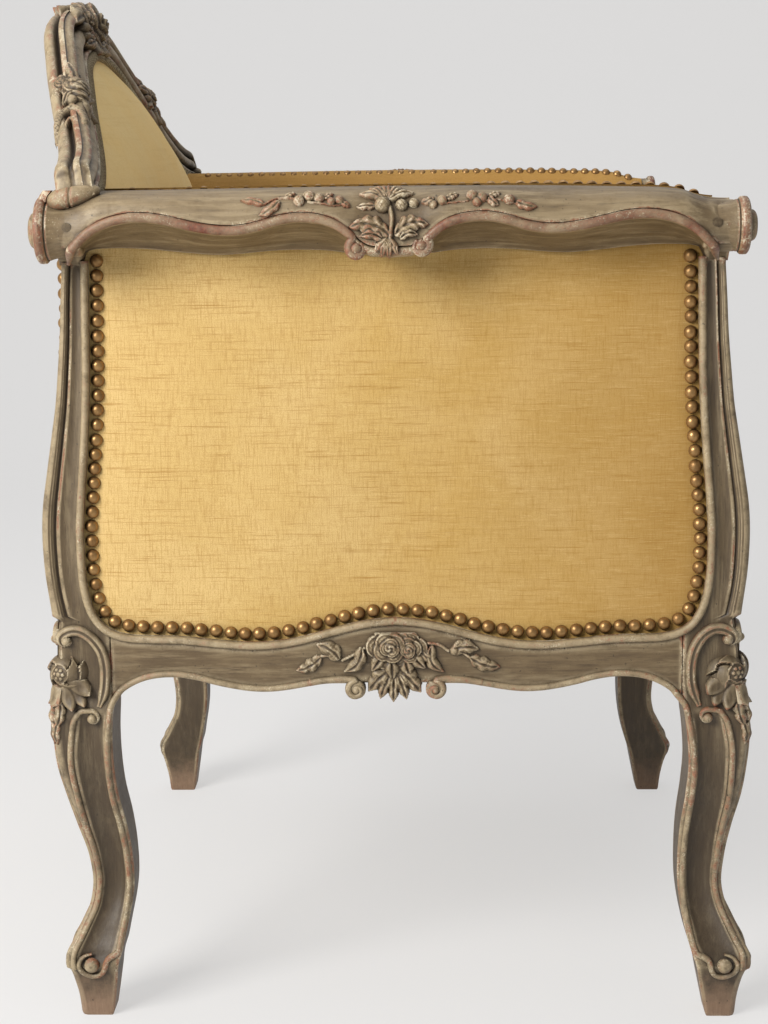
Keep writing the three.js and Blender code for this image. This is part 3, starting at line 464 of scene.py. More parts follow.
def painted_wood_look(name, grain_run, worn, tone, bare=0.0):
    """Old paint over red-brown wood: streaked along the grain and rubbed through on edges, with painted shade
    in the hollows and low on the legs and a painted highlight on raised edges.

    bare is the share of the wood that shows where the paint is rubbed off altogether.
    """
    n = Nodes(name, 0.6)
    turned = n.add("ShaderNodeAttribute", attribute_name="turned").outputs["Fac"]
    cloudy = n.noise(9, 4, 0.65)
    mottled = n.noise(75, 5, 0.75)
    streaks = n.noise(1.0, 5, 0.7, n.scaled(*(14 if axis in grain_run else 150 for axis in "xyz")))
    lines = n.noise(1.0, 4, 0.7, n.scaled(*(34 if axis in grain_run else 560 for axis in "xyz")))
    fine = n.noise(700, 3, 0.7)

    def shade(red, green, blue):
        return linear(red * tone, green * tone, blue * tone)
    colour = n.coat(
        shade(124, 104, 73),
        (cloudy, ((0.35, 0.0), (0.65, 1.0)), shade(100, 81, 53)),
        (streaks, ((0.5, 0.0), (0.64, 0.75)), shade(152, 133, 100)),
        (streaks, ((0.32, 0.7), (0.46, 0.0)), shade(82, 64, 41)),
        (mottled, ((0.46, 0.0), (0.74, 0.45)), shade(88, 69, 44)),
        (lines, ((0.55, 0.0), (0.68, 0.55)), shade(62, 48, 31)),
        # Painted shade: darker low down, on the legs under the seat
        (n.split("Z"), ((0.2, 0.6), (0.36, 0.0)), shade(60, 46, 30)))
    # Painted highlight: raised edges and beads made lighter, patchily
    edge_highlight = n.times(n.ramp(turned, (0.008, 0.0), (0.08, 0.75)), n.ramp(mottled, (0.32, 0.15), (0.56, 1.0)))
    colour = n.mix(edge_highlight, colour, linear(172, 154, 122))
    # Painted shade in the hollows: darker where occlusion is high and where the surface turns inwards
    hollow_shade = (0.2, 0.97), (0.55, 0.62), (0.8, 0.22), (0.97, 0.0)
    colour = n.coat(
        colour,
        (n.openness(0.018, 5), hollow_shade, linear(46, 35, 23)),
        (n.times(turned, -1.0), ((0.04, 0.0), (0.16, 0.8)), linear(54, 42, 28)))
    stretch = n.noise(20, 4, 0.7)
    edge = n.plus(turned, n.swing(n.noise(150, 6, 0.78), 0.36))
    start = 0.15 - 0.07 * worn
    low_wear, high_wear = 0.5 - 0.07 * worn, 0.6 - 0.07 * worn
    rubbed = n.times(n.ramp(edge, (start, 0.0), (start + 0.05, 1.0)),
                     n.ramp(stretch, (low_wear, 0.0), (high_wear, 0.85)))
    ground = n.mix(n.ramp(fine, (0.4, 0.0), (0.6, 1.0)), linear(146, 92, 64), linear(108, 68, 46))
    colour = n.mix(rubbed, colour, ground)
    red_wood = n.mix(n.ramp(fine, (0.35, 0.0), (0.65, 1.0)), linear(120, 54, 32), linear(76, 36, 23))
    colour = n.mix(n.ramp(stretch, (0.36, bare), (0.62, 0.25 * bare)), colour, red_wood)
    chalk_edge = n.plus(turned, n.swing(fine, 0.5))
    chalk = n.times(n.ramp(chalk_edge, (start + 0.02, 0.0), (start + 0.07, 0.85)),
                    n.ramp(n.noise(46, 5, 0.8), (0.49, 0.0), (0.58, 0.9)))
    colour = n.mix(chalk, colour, linear(200, 188, 160))
    scuffed_foot = n.plus(n.split("Z"), n.swing(mottled, 0.05))
    foot_wood = n.mix(lines, linear(112, 84, 64), linear(166, 138, 112))
    colour = n.coat(
        colour,
        (scuffed_foot, ((0.008, 0.75), (0.042, 0.0)), foot_wood),
        (n.noise(380, 2, 0.5), ((0.7, 0.0), (0.745, 0.8)), linear(46, 37, 26)))
    n.feed(n.shader, Base_Color=colour, Roughness=n.ramp(mottled, (0.3, 0.62), (0.8, 0.42)))
    relief = n.plus(n.times(lines, 0.6), n.times(fine, 0.3))
    n.bump(n.plus(relief, n.reckon("SUBTRACT", mottled, n.times(rubbed, 0.5))), 0.4, 0.0009)
    return n.material


def velvet_look(name, tints, threads, streaks=1.0, painted_falloff=0.0):
    """Velvet with fine slubs.

    tints are its own colour, a dark and a pale one.
    threads is how often the cloth changes along X, Y and Z.
    The last argument sets how strongly a painted gradient of light and shade runs across the cloth: paler
    towards the back of the chair, darker towards the front.
    """
    n = Nodes(name, 0.82)
    face, dark, pale = (linear(*tint) for tint in tints)
    long_slub = n.noise(1.0, 4, 0.65, n.scaled(*threads))
    short_slub = n.noise(1.0, 2, 0.5, n.scaled(*(v * 2.6 for v in threads)))
    crushed = n.noise(9, 4, 0.6, warp=0.6)
    broad = n.noise(3.2, 2, 0.5)
    # Painted light and shade along Y: paler towards the back, where the window light comes from, darker
    # towards the front
    depth = n.plus(n.times(n.split("Y"), 1.5), n.plus(n.times(broad, 0.5), 0.25))
    cross = n.noise(1.0, 3, 0.6, n.scaled(1.2 * threads[2], 1.2 * threads[2], 3.0 * threads[0]))
    pile = n.noise(1300, 2, 0.6)
    colour = n.coat(
        face,
        (crushed, ((0.38, 0.1), (0.66, 0.6)), pale),
        (broad, ((0.4, 0.0), (0.65, 0.22)), dark),
        (depth, ((0.1, 0.75 * painted_falloff), (0.5, 0.0)), dark),
        (depth, ((0.5, 0.0), (0.95, 0.8 * painted_falloff)), pale),
        (long_slub, ((0.54, 0.0), (0.7, 0.75 * streaks)), dark),
        (short_slub, ((0.55, 0.0), (0.7, 0.4 * streaks)), pale),
        (cross, ((0.48, 0.0), (0.66, 0.4 * streaks)), dark),
        (pile, ((0.35, 0.35), (0.55, 0.0)), dark))
    n.feed(n.shader, Base_Color=colour, Sheen_Weight=0.35, Sheen_Roughness=0.45,
           Sheen_Tint=linear(250, 225, 160), Specular_IOR_Level=0.2)
    n.bump(n.plus(n.times(long_slub, 0.9 * streaks), n.times(pile, 0.5)), 0.35, 0.0008)
    return n.material


def metal_look(name):
    """Bronzed nail heads, patchily darker, with painted shade round the rim where each meets the cloth."""
    n = Nodes(name, 0.34)
    worn = n.noise(130, 4, 0.6)
    colour = n.coat(
        linear(168, 132, 84),
        (worn, ((0.35, 0.0), (0.65, 1.0)), linear(126, 94, 56)),
        # Painted shade: dark round each head where it meets the cloth
        (n.openness(0.006, 4), ((0.3, 0.85), (0.75, 0.0)), linear(52, 38, 26)))
    n.feed(n.shader, Base_Color=colour, Roughness=n.ramp(worn, (0.3, 0.3), (0.7, 0.48)), Metallic=0.7)
    return n.material


def plain_weave_look(name, face, dark, scale):
    """Coarse cloth of crossing threads."""
    n = Nodes(name, 0.92)
    waves = []
    for axis in "XYZ":
        wave = n.add("ShaderNodeTexWave", bands_direction=axis)
        n.feed(wave, Vector=n.place, Scale=scale, Distortion=0.6, Detail=1.0)
        waves.append(wave.outputs["Fac"])
    height = n.plus(n.times(waves[0], waves[2]), waves[1])
    colour = n.coat(
        linear(*dark),
        (height, ((0.2, 0.0), (1.0, 1.0)), linear(*face)),
        (n.noise(30, 4, 0.6), ((0.4, 0.0), (0.7, 0.4)), linear(*dark)))
    n.feed(n.shader, Base_Color=colour)
    n.bump(height, 0.5, 0.0006)
    return n.material


def bare_wood_look(name, face, dark):
    n = Nodes(name, 0.72)
    grain = n.noise(1.0, 5, 0.6, n.scaled(90, 14, 300), warp=0.4)
    colour = n.coat(
        linear(*face),
        (grain, ((0.35, 0.0), (0.7, 1.0)), linear(*dark)),
        (n.noise(12, 3, 0.6), ((0.4, 0.0), (0.7, 0.4)), linear(*dark)))
    n.feed(n.shader, Base_Color=colour)
    n.bump(grain, 0.2, 0.0006)
    return n.material


# The posts' and stiles' paint has a lower tone than the rails': painted shade, as the posts stand in less
# light
paint = painted_wood_look("painted_wood", "z", 0.7, 0.83)
paint_deep = painted_wood_look("painted_wood_deep", "y", 0.6, 0.94)
paint_across = painted_wood_look("painted_wood_across", "x", 0.6, 0.95)
worn_paint = painted_wood_look("painted_wood_worn", "y", 1.35, 1.0)
dark_paint = painted_wood_look("painted_wood_dark", "x", 0.5, 0.8)
rubbed_paint = painted_wood_look("painted_wood_rubbed", "y", 0.6, 0.85, 0.95)
outer_velvet = velvet_look("outer_velvet", [(191, 158, 92), (154, 115, 54), (212, 184, 128)],
                           (24, 24, 900), 1.0, 0.9)
# The inner velvet is paler than the outer: painted light on the inside of the back and on the deck, which
# face away from the window
inner_velvet = velvet_look("inner_velvet", [(250, 217, 148), (222, 184, 114), (252, 230, 176)],
                           (7, 7, 160), 0.35)
arm_velvet = velvet_look("arm_velvet", [(174, 134, 72), (142, 102, 46), (192, 152, 90)], (60, 30, 700), 0.5)
seat_velvet = velvet_look("seat_velvet", [(198, 160, 92), (160, 120, 56), (216, 186, 126)], (9, 420, 420))
bronze = metal_look("bronzed_nails")
sacking = plain_weave_look("sacking", (158, 134, 96), (108, 86, 56), 260)
jute = plain_weave_look("jute_webbing", (142, 118, 78), (92, 70, 42), 190)
raw_wood = bare_wood_look("bare_wood", (176, 142, 100), (128, 96, 62))
braid = plain_weave_look("gimp_braid", (188, 174, 142), (96, 82, 62), 330)


# Corner posts

# Where the hollow of a leg's face starts: [height, from the outer edge]
FLUTE_START = [
    (0, 7), (45, 7), (80, 6.5), (110, 6), (140, 6.5), (165, 8.5), (190, 11), (215, 14), (240, 17),
    (262, 21), (352, 21),
]
FLUTE_DEPTH = 4.2
POST_ROUND = 6.0            # radius of a leg's outer corner
LEDGE_CUT = 10.0            # height over which a leg's block narrows towards the seat ledge
RING_STEP = 2.5             # between the rings of a post
TOE_SHARE = 0.96            # the eased lowest edge of a foot, against the ring above it
# Face of the post's moulding: [share of its width from the outer edge, depth]
POST_MOULD = [
    (0.17, 0), (0.24, 0.5), (0.3, 1.9), (0.335, 4.2), (0.36, 4.4), (0.39, 3.2), (0.43, 2.6), (0.5, 3.3),
    (0.58, 4.0), (0.66, 4.3), (0.74, 4.0), (0.82, 3.4), (0.9, 3.0), (0.97, 3.0), (1, 3.6), (1, 13),
]


def leg_reach(height, end):
    """Outer X, inner X, outer Y, inner Y of a corner post below the seat."""
    out_y = follow(LEG_EDGES, height, 2 if end < 0 else 1)
    in_y = follow(LEG_EDGES, height, 4 if end < 0 else 3)
    mean_out = (follow(LEG_EDGES, height, 1) + follow(LEG_EDGES, height, 2)) / 2
    mean_in = (follow(LEG_EDGES, height, 3) + follow(LEG_EDGES, height, 4)) / 2
    flush = smooth_step(height, 285, 305)
    out_x = (mean_out + SWEEP_TO_X) * (1 - flush) + HALF_WIDTH * flush
    in_x = (mean_in + SWEEP_TO_X) * (1 - flush) + (HALF_WIDTH - KNEE) * flush
    return out_x, in_x, out_y, in_y


def face_fall(height):
    """How far the flat of a face lies behind the outer reach: 0 on the leg, a bead's depth at the knee."""
    return RAIL_FLAT * smooth_step(height, 268, 292)


def leg_face(width, height):
    """Rows of [from the outer edge, depth] across one face of the leg."""
    start = min(float(follow(FLUTE_START, height)), width * 0.45)
    end = width - 6.5
    flute = FLUTE_DEPTH * float(smooth_step(height, 46, 58) * (1 - smooth_step(height, 262, 276)))
    across = np.r_[np.linspace(POST_ROUND, start, 3), np.linspace(start, end, 9)[1:],
                   width - 3.5, width - 0.9, width, width, width]
    fall = float(face_fall(height))
    depth = fall + flute * np.sin(np.clip((across - start) / (end - start), 0, 1) * math.pi) ** 0.55
    depth[-4:] = [0.2 + fall, 1.0 + fall, 3.5 + fall, 8.0]
    return np.c_[across, depth]


def post_face(width, step, height):
    """Rows of [from the outer edge, depth] across one face of the post above the seat."""
    rows = np.array(POST_MOULD, float)
    rows[:, 0] *= width
    above_rail = float(smooth_step(height, SEAT_LEDGE, SEAT_LEDGE + 30))
    rows[6:-1, 1] += (RAIL_FLAT - rows[6:-1, 1]) * (1 - above_rail)
    rows[-1, 1] = step
    return rows


def corner_ring(height, end):
    """One level of a corner post, on the +X side."""
    above = height > SEAT_LEDGE + 2
    if above:
        out_x, in_x = HALF_WIDTH, HALF_WIDTH - POST_DEPTH
        out_y = float(follow(POST_EDGES, height))
        width_y = out_y - float(follow(POST_EDGES, height, 2))
        in_y = max(out_y - width_y / 0.7, HALF_DEPTH - KNEE)
        width_x = (out_x - in_x) * 0.74
        faces = post_face(width_y, REBATE, height), post_face(width_x, 4.5, height)
        corner = POST_MOULD[0][0] * width_y
        faces[1][0, 0] = corner
    else:
        out_x, in_x, out_y, in_y = (float(v) for v in leg_reach(height, end))
        in_y += max(0.0, height - SEAT_LEDGE + LEDGE_CUT)
        width_x, width_y = out_x - in_x, out_y - in_y
        faces = leg_face(width_y, height), leg_face(width_x, height)
        corner = POST_ROUND
    full_x, full_y = out_x - in_x, out_y - in_y
    ring = [(a, b) for b, a in faces[0]]
    near_x, near_y = faces[0][-1, 1], faces[1][-1, 1]
    ring += [(near_x, full_y), (near_x + 2, full_y), ((near_x + full_x) / 2, full_y), (full_x - 4.5, full_y),
             (full_x - 2.5, full_y), (full_x - 0.7, full_y - 0.7), (full_x, full_y - 2.5),
             (full_x, full_y - 4.5), (full_x, (near_y + full_y) / 2), (full_x, near_y + 2), (full_x, near_y)]
    ring += [(b, a) for b, a in faces[1][::-1]]
    fall_x, fall_y = faces[0][0, 1], faces[1][0, 1]
    for turn in np.linspace(0, math.pi / 2, 7)[1:-1]:
        ring.append((corner + fall_x - corner * math.sin(turn), corner + fall_y - corner * math.cos(turn)))
    ring = np.array(ring)
    return np.c_[out_x - ring[:, 0], end * (out_y - ring[:, 1]), np.full(len(ring), height)]


def face_normal(end, on_side):
    """Outward direction of a leg's side face, or of its end face."""
    return np.array([1.0, 0, 0]) if on_side else np.array([0, float(end), 0])


def face_point(end, edge, height, rise, on_side):
    """A point on a leg's side face, or on its end face, given from the outer edge."""
    out_x, _, out_y, _ = leg_reach(height, end)
    fall = face_fall(height)
    if on_side:
        return np.stack(np.broadcast_arrays(out_x - fall + rise, end * (out_y - edge), height), -1)
    return np.stack(np.broadcast_arrays(out_x - edge, end * (out_y - fall + rise), height), -1)


def curl(centre, radius, start, turns, direction, steps=26, last=1.6):
    """Points of a spiral that starts at an angle and winds in, in a plane."""
    share = np.linspace(0, 1, steps)
    angle = start + direction * turns * 2 * math.pi * share
    reach = radius + (last - radius) * share ** 0.8
    return np.c_[centre[0] + reach * np.cos(angle), centre[1] + reach * np.sin(angle)]


def tapered(width, rise, count, head=0.0, tail=0.0, ends=0.35, steps=8, parting=0.0):
    """Half-round sections that thin out over the given shares of the path at its head and tail.

    A parting is the share of their rise by which they are sunk along the middle, which leaves two ridges.
    """
    share = np.linspace(0, 1, count)
    size = np.ones(count)
    if head:
        size = np.minimum(size, ends + (1 - ends) * smooth_step(share, 0, head))
    if tail:
        size = np.minimum(size, ends + (1 - ends) * smooth_step(1 - share, 0, tail))
    base = np.array(half_round(width, rise, steps), float)
    base[:, 1] -= parting * rise * np.exp(-(base[:, 0] / (0.15 * width)) ** 2) * (base[:, 1] > 0)
    sections = np.repeat(base[None], count, 0)
    sections[..., 0] *= size[:, None]
    sections[..., 1] = np.where(sections[..., 1] > 0, sections[..., 1] * size[:, None], sections[..., 1])
    return sections


def leg_bead(path, end, on_side, width, rise, lift=0.0, **taper):
    """A bead on a leg's face along (from the outer edge, height) points."""
    points = face_point(end, path[:, 0], path[:, 1], lift, on_side)
    normals = all_facing(face_normal(end, on_side), points)
    return sweep(points, normals, tapered(width, rise, len(points), **taper))


# Beads of a leg, on the back one: [from the outer edge, height]
OUTER_RIM = [
    (5.5, 46), (4.2, 56), (3.4, 68), (3.2, 84), (3.4, 102), (3.6, 120), (4, 140), (5.2, 165),
    (7.2, 190), (9.8, 215), (12.5, 238), (15.5, 256), (18.5, 268), (24, 275), (30, 276),
]
FLUTE_CURL = (33.5, 269.0)      # centre of the curl at the top of the flute
FOOT_CURL = (20.0, 49.5)        # centre of the ball at the foot
FOOT_SCROLL = [(33.5, 54), (30.5, 46), (25, 40.5), (18, 39), (11.5, 42.5), (9, 50), (13, 57), (19, 59)]
KNEE_SCROLL = [
    (39.5, 279), (42.5, 290), (43.8, 303), (43.2, 316), (40.5, 326), (35.5, 334), (28.5, 340.5),
    (20, 344), (12.5, 343),
]
KNEE_CURL = (11.5, 335.0)


def leg_trim(end, on_side):
    """Rims of the flute, the curls at its ends and the C-scroll on the knee."""
    parts = []
    top = curl(FLUTE_CURL, 7.2, math.pi * 0.62, 0.95, -1)
    rim = smooth_path(np.r_[OUTER_RIM[:-1], top[:18]], 2.0)
    parts.append(leg_bead(rim, end, on_side, 5.2, 3.0, tail=0.08))
    inner = inner_rim(end)
    lower = inner[inner[:, 1] > 62]
    parts.append(leg_bead(smooth_path(np.r_[lower, FOOT_SCROLL], 2.0), end, on_side, 5.2, 3.2, tail=0.06))
    scroll = smooth_path(np.r_[KNEE_SCROLL, curl(KNEE_CURL, 7.5, math.pi * 0.45, 0.8, 1)[2:16]], 2.0)
    swell = 2.0 * np.sin(np.linspace(0, math.pi, len(scroll)))
    parts.append(leg_bead(scroll, end, on_side, 9.5, 4.6, lift=swell - 0.5, head=0.12, tail=0.1,
                          ends=0.5, steps=14, parting=0.34))
    bosses = (FOOT_CURL, 6.5, 5.5), (FLUTE_CURL, 4.2, 4.4), (KNEE_CURL, 4.6, 6.5)
    for (edge, height), radius, rise in bosses:
        centre = face_point(end, edge, height, 0.0, on_side)
        parts.append(dome(centre, face_normal(end, on_side), radius, rise, 18, 7))
    return parts


def inner_rim(end):
    """Centre line of the bead down a leg's inner edge, from arch to foot: [from the outer edge, height]."""
    height = np.linspace(278, 52, 90)
    _, _, out_y, in_y = leg_reach(height, end)
    inner = follow([(50, 0), (262, 0), (270, 0.6), (278, 1.6)], height)
    return np.c_[out_y - in_y - 3.2 + inner, height]


def dome(centre, normal, radius, rise, around=14, up=5, sunk=1.0):
    """A low dome standing on a surface."""
    normal = unit(np.asarray(normal, float))
    side = unit(np.cross(normal, [0.3, 0.5, 0.81]))
    other = np.cross(normal, side)
    rings = []
    for level in np.linspace(0, math.pi / 2 * 0.97, up):
        turn = full_turn(around)
        flat = radius * math.cos(level)
        rings.append(centre + flat * (np.cos(turn)[:, None] * side + np.sin(turn)[:, None] * other)
                     + normal * rise * math.sin(level))
    rings.insert(0, rings[0] - normal * sunk)
    return loft(rings)


def corner_post(side, end):
    heights = np.r_[np.arange(0, SEAT_LEDGE, RING_STEP), SEAT_LEDGE,
                    np.arange(POST_FOOT, ARM_UNDER, RING_STEP), ARM_UNDER + 4]
    rings = [corner_ring(height, end) for height in heights]
    toe = rings[0][:, :2]
    rings[0][:, :2] = toe.mean(0) + (toe - toe.mean(0)) * TOE_SHARE
    parts = [loft(eased(rings))]
    for on_side in (True, False):
        parts += leg_trim(end, on_side)
    parts += knee_relief(end)
    return mirrored(parts, side)


# Seat rails

RAIL_HALF = 237.5               # half the length of a side rail
CROSS_SCALE = 271.0 / 238.0     # how much longer the front and back rails are


def rail_normal(axis, direction):
    return np.array([direction, 0, 0.0] if axis == "side" else [0, direction, 0.0])


def rail_place(points, axis, direction):
    """Turns (along, out, height) into a point: a side rail stands in X, a front or back one in Y."""
    points = np.asarray(points, float)
    along, out, height = points[..., 0], points[..., 1], points[..., 2]
    if axis == "side":
        return np.stack([direction * (HALF_WIDTH + out), along, height], -1)
    return np.stack([along * CROSS_SCALE, direction * (HALF_DEPTH + out), height], -1)


PANEL_BEAD = half_round(BEAD_WIDTH, BEAD_RISE + 0.4, 9, 3.0)


def seat_rail(axis, direction):
    """A rail with the carving in its middle."""
    rings = []
    for along in np.linspace(-RAIL_HALF, RAIL_HALF, 159):
        under, top = (float(follow(RAIL_EDGES, abs(along), k)) for k in (1, 2))
        profile = [(-RAIL_DEPTH, under + 3), (-7, under), (-4.5, under + 0.6), (-RAIL_FLAT, under + 3),
                   (-RAIL_FLAT, under + 9), (-RAIL_FLAT, top - 8), (-RAIL_FLAT, top - 2), (-4.5, top),
                   (-7, top), (-REBATE, top), (-REBATE, top + TACK_STRIP), (-17, top + TACK_STRIP),
                   (-20, SEAT_LEDGE), (-RAIL_DEPTH, SEAT_LEDGE)]
        rings.append([(along, out, height) for out, height in profile])
    body = loft(eased(rail_place(rings, axis, direction)))
    return [body, rail_relief(axis, direction)] + rail_scrolls(axis, direction)


def side_frame_beads():
    """The bead round a side cover and the one along the rail's lower edge, on the +X side."""
    half = smooth_path(PANEL_EDGE, 2.0)
    whole = np.r_[half[:0:-1] * [-1, 1], half]
    path = np.c_[np.full(len(whole), HALF_WIDTH - RAIL_FLAT), whole]
    return [sweep(path, all_facing((1, 0, 0), path), PANEL_BEAD), arch_bead(-1, True), arch_bead(1, True)]


def cross_frame_beads(end):
    """The bead over the middle of a front or back rail, and those along its lower edge."""
    edge = PANEL_EDGE[:16]
    line = smooth_path([(-x, z) for x, z in edge[:0:-1]] + edge, 2.0)
    path = np.c_[line[:, 0] * CROSS_SCALE, np.full(len(line), end * (HALF_DEPTH - RAIL_FLAT)), line[:, 1]]
    upper = sweep(path, all_facing((0, end, 0), path), PANEL_BEAD)
    return [arch_bead(end, False), upper, mirrored([arch_bead(end, False)], -1)]


def arch_bead(end, on_side):
    """Bead from the rail's middle scroll, round the arch and on to the head of the leg's inner rim."""
    edge = smooth_path([(y, z + 3.2) for y, z in RAIL_UNDER], 2.0)
    rim = inner_rim(end)
    rim_y = np.asarray(leg_reach(rim[:, 1], end)[2]) - rim[:, 0]
    leg_part = np.c_[rim_y, rim[:, 1]][:24:3]
    line = smooth_path(np.r_[edge[:-3], leg_part], 2.0)
    height = line[:, 1]
    depth = np.interp(height, [50, 262, 275, 292, 400], [0, 0, 1, RAIL_FLAT, RAIL_FLAT])
    leg_x, _, leg_y, _ = leg_reach(height, end)
    if on_side:
        reach = np.where(height > 292, HALF_WIDTH, leg_x)
        path = np.c_[reach - depth, end * line[:, 0], height]
    else:
        reach = np.where(height > 292, HALF_DEPTH, leg_y)
        share = smooth_step(height, 262, 285)
        along = line[:, 0] * CROSS_SCALE * share + (line[:, 0] + SWEEP_TO_X) * (1 - share)
        path = np.c_[along, end * (reach - depth), height]
    return sweep(path, all_facing(face_normal(end, on_side), path), half_round(5.5, 3.0, 8, 2.0))


# Arm rails

# Top of an arm: [place along it, height]
ARM_LEVEL = [
    (-300, 697), (-247, 697.3), (-240, 699), (-232, 702), (-216, 704.2), (-190, 705), (300, 705),
]
ROLL_CROWN = 12.0           # where the roll's round starts, out from the frame's face
ROLL_REACH = 44.5
# Turned end of the roll at the back: [radius, place]
VOLUTE_BACK = [
    (0, 246), (20.5, 246), (20.6, 254), (21.1, 260), (22, 265), (23, 268.5), (23.5, 270), (22.8, 270.9),
    (24.6, 271.6), (25.7, 272.8), (25.8, 276), (25.4, 278.2), (23.8, 279.3), (19.5, 279.4),
    (17.6, 278.5), (15.8, 278), (14.9, 279.4), (14.4, 281.8), (13.2, 284), (10.8, 285.4), (6.5, 286.2),
    (0, 286.5),
]
VOLUTE_RIM = [(24.6, 272.2), (26, 273), (26.2, 275.5), (26, 277.8), (24.8, 278.8)]
VOLUTE_CENTRE = np.array([ROLL_OUT - ROLL_RADIUS - 1, 675.5])     # out from the frame's face, height
VOLUTE_NECK = 20.4
FRONT_VOLUTE = np.array([22.4 / 25.8, -1])      # the front volute's radius and place, against the back one's


def arm_profile(along):
    """Section of an arm rail as [out from the frame's face, height], and its rows on the roll's outside."""
    reach = abs(along)
    near_post = float(smooth_step(reach, 246, 251))
    cove = float(follow(COVE, reach)) * (1 - near_post) + (ARM_UNDER + 1.5) * near_post
    lip = max(float(follow(LIP, reach)), cove + 4.5)
    top = float(follow(ARM_LEVEL, along))
    under = np.linspace(0, 1, 9)
    rows = [(-POST_DEPTH, ARM_UNDER), (-REBATE - GAP, ARM_UNDER), (-REBATE - GAP, cove), (-4, cove)]
    rows += [(-3 + 40 * t, cove + 1 + (lip - 4 - cove) * t ** 0.75) for t in under]
    rows += [(39.5, lip - 3.1), (42.4, lip - 2.6), (44.8, lip - 1), (46, lip + 1.2), (45.8, lip + 3.2),
             (44.6, lip + 4.6), (43.4, lip + 5.2)]
    start = len(rows)
    turn = np.linspace(0, math.pi / 2, 18)
    base = lip + 5.8
    rows += [(ROLL_CROWN + (ROLL_REACH - ROLL_CROWN) * math.cos(t) ** 0.8,
              base + (top - base) * math.sin(t) ** 0.9) for t in turn]
    end = len(rows)
    rows += [(4, top + 0.6), (-4, top + 0.5), (-14, top - 0.4), (-28, top - 0.8), (-33, top - 1.0),
             (-34.5, top - 1.9), (-36, top - 0.8), (-38.2, top - 0.6), (-40.2, top - 1.6), (-41, top - 3.6),
             (-41, top - TACK_STRIP), (-POST_DEPTH, top - TACK_STRIP - 3)]
    rows = np.array(rows, float)
    into = np.full((len(rows), 1), float(smooth_step(reach, 244, 252)))
    into[start:end] = float(smooth_step(reach, 228, 264))
    away = rows - VOLUTE_CENTRE
    shrink = np.minimum(1, VOLUTE_NECK / np.maximum(np.linalg.norm(away, axis=1), 1e-6))[:, None]
    outside = (rows[:, :1] > 0) * into
    rows = rows * (1 - outside) + (VOLUTE_CENTRE + away * shrink) * outside
    return rows, start, end


def lathe_y(profile, centre_x, centre_z, around=56):
    """A turned body about a line along Y: profile rows are [radius, place along Y]."""
    turn = full_turn(around)
    rings = []
    for radius, along in profile:
        radius = max(radius, 0.02)
        rings.append(np.c_[centre_x + radius * np.cos(turn), np.full(around, along),
                           centre_z + radius * np.sin(turn)])
    return loft(rings)


def volute_pair(profile):
    """Turned bodies for the back and the front end of an arm's roll, on the +X side."""
    centre_x, level = HALF_WIDTH + VOLUTE_CENTRE[0], VOLUTE_CENTRE[1]
    return [lathe_y(profile, centre_x, level), lathe_y(profile * FRONT_VOLUTE, centre_x + 2, level)]


def arm_rail(side):
    places = np.r_[np.arange(-268, 268, 2.5), 268]
    rings = []
    for along in places:
        rows, _, _ = arm_profile(along)
        rings.append(np.c_[HALF_WIDTH + rows[:, 0], np.full(len(rows), along), rows[:, 1]])
    return mirrored([loft(eased(rings))], side)


def arm_ground(along, level):
    """Points and normals on the outside of an arm's roll, on the +X side.

    Level is a height on the flat of the roll's face, and goes on over its round by the length of the surface.
    """
    points = np.zeros(along.shape + (3,))
    normals = np.zeros_like(points)
    for c in range(along.shape[1]):
        rows, start, end = arm_profile(along[0, c])
        run = rows[start - 6:end + 3]
        length = run_length(run)
        length += rows[start, 1] - length[6]
        out, up = (np.interp(level[:, c], length, run[:, k]) for k in (0, 1))
        lean_out, lean_up = (np.interp(level[:, c] + 0.8, length, run[:, k])
                             - np.interp(level[:, c] - 0.8, length, run[:, k]) for k in (0, 1))
        points[:, c] = np.c_[HALF_WIDTH + out, along[:, c], up]
        normals[:, c] = np.c_[lean_up, np.zeros(len(out)), -lean_out]
    return points, unit(normals)


# Carving in relief

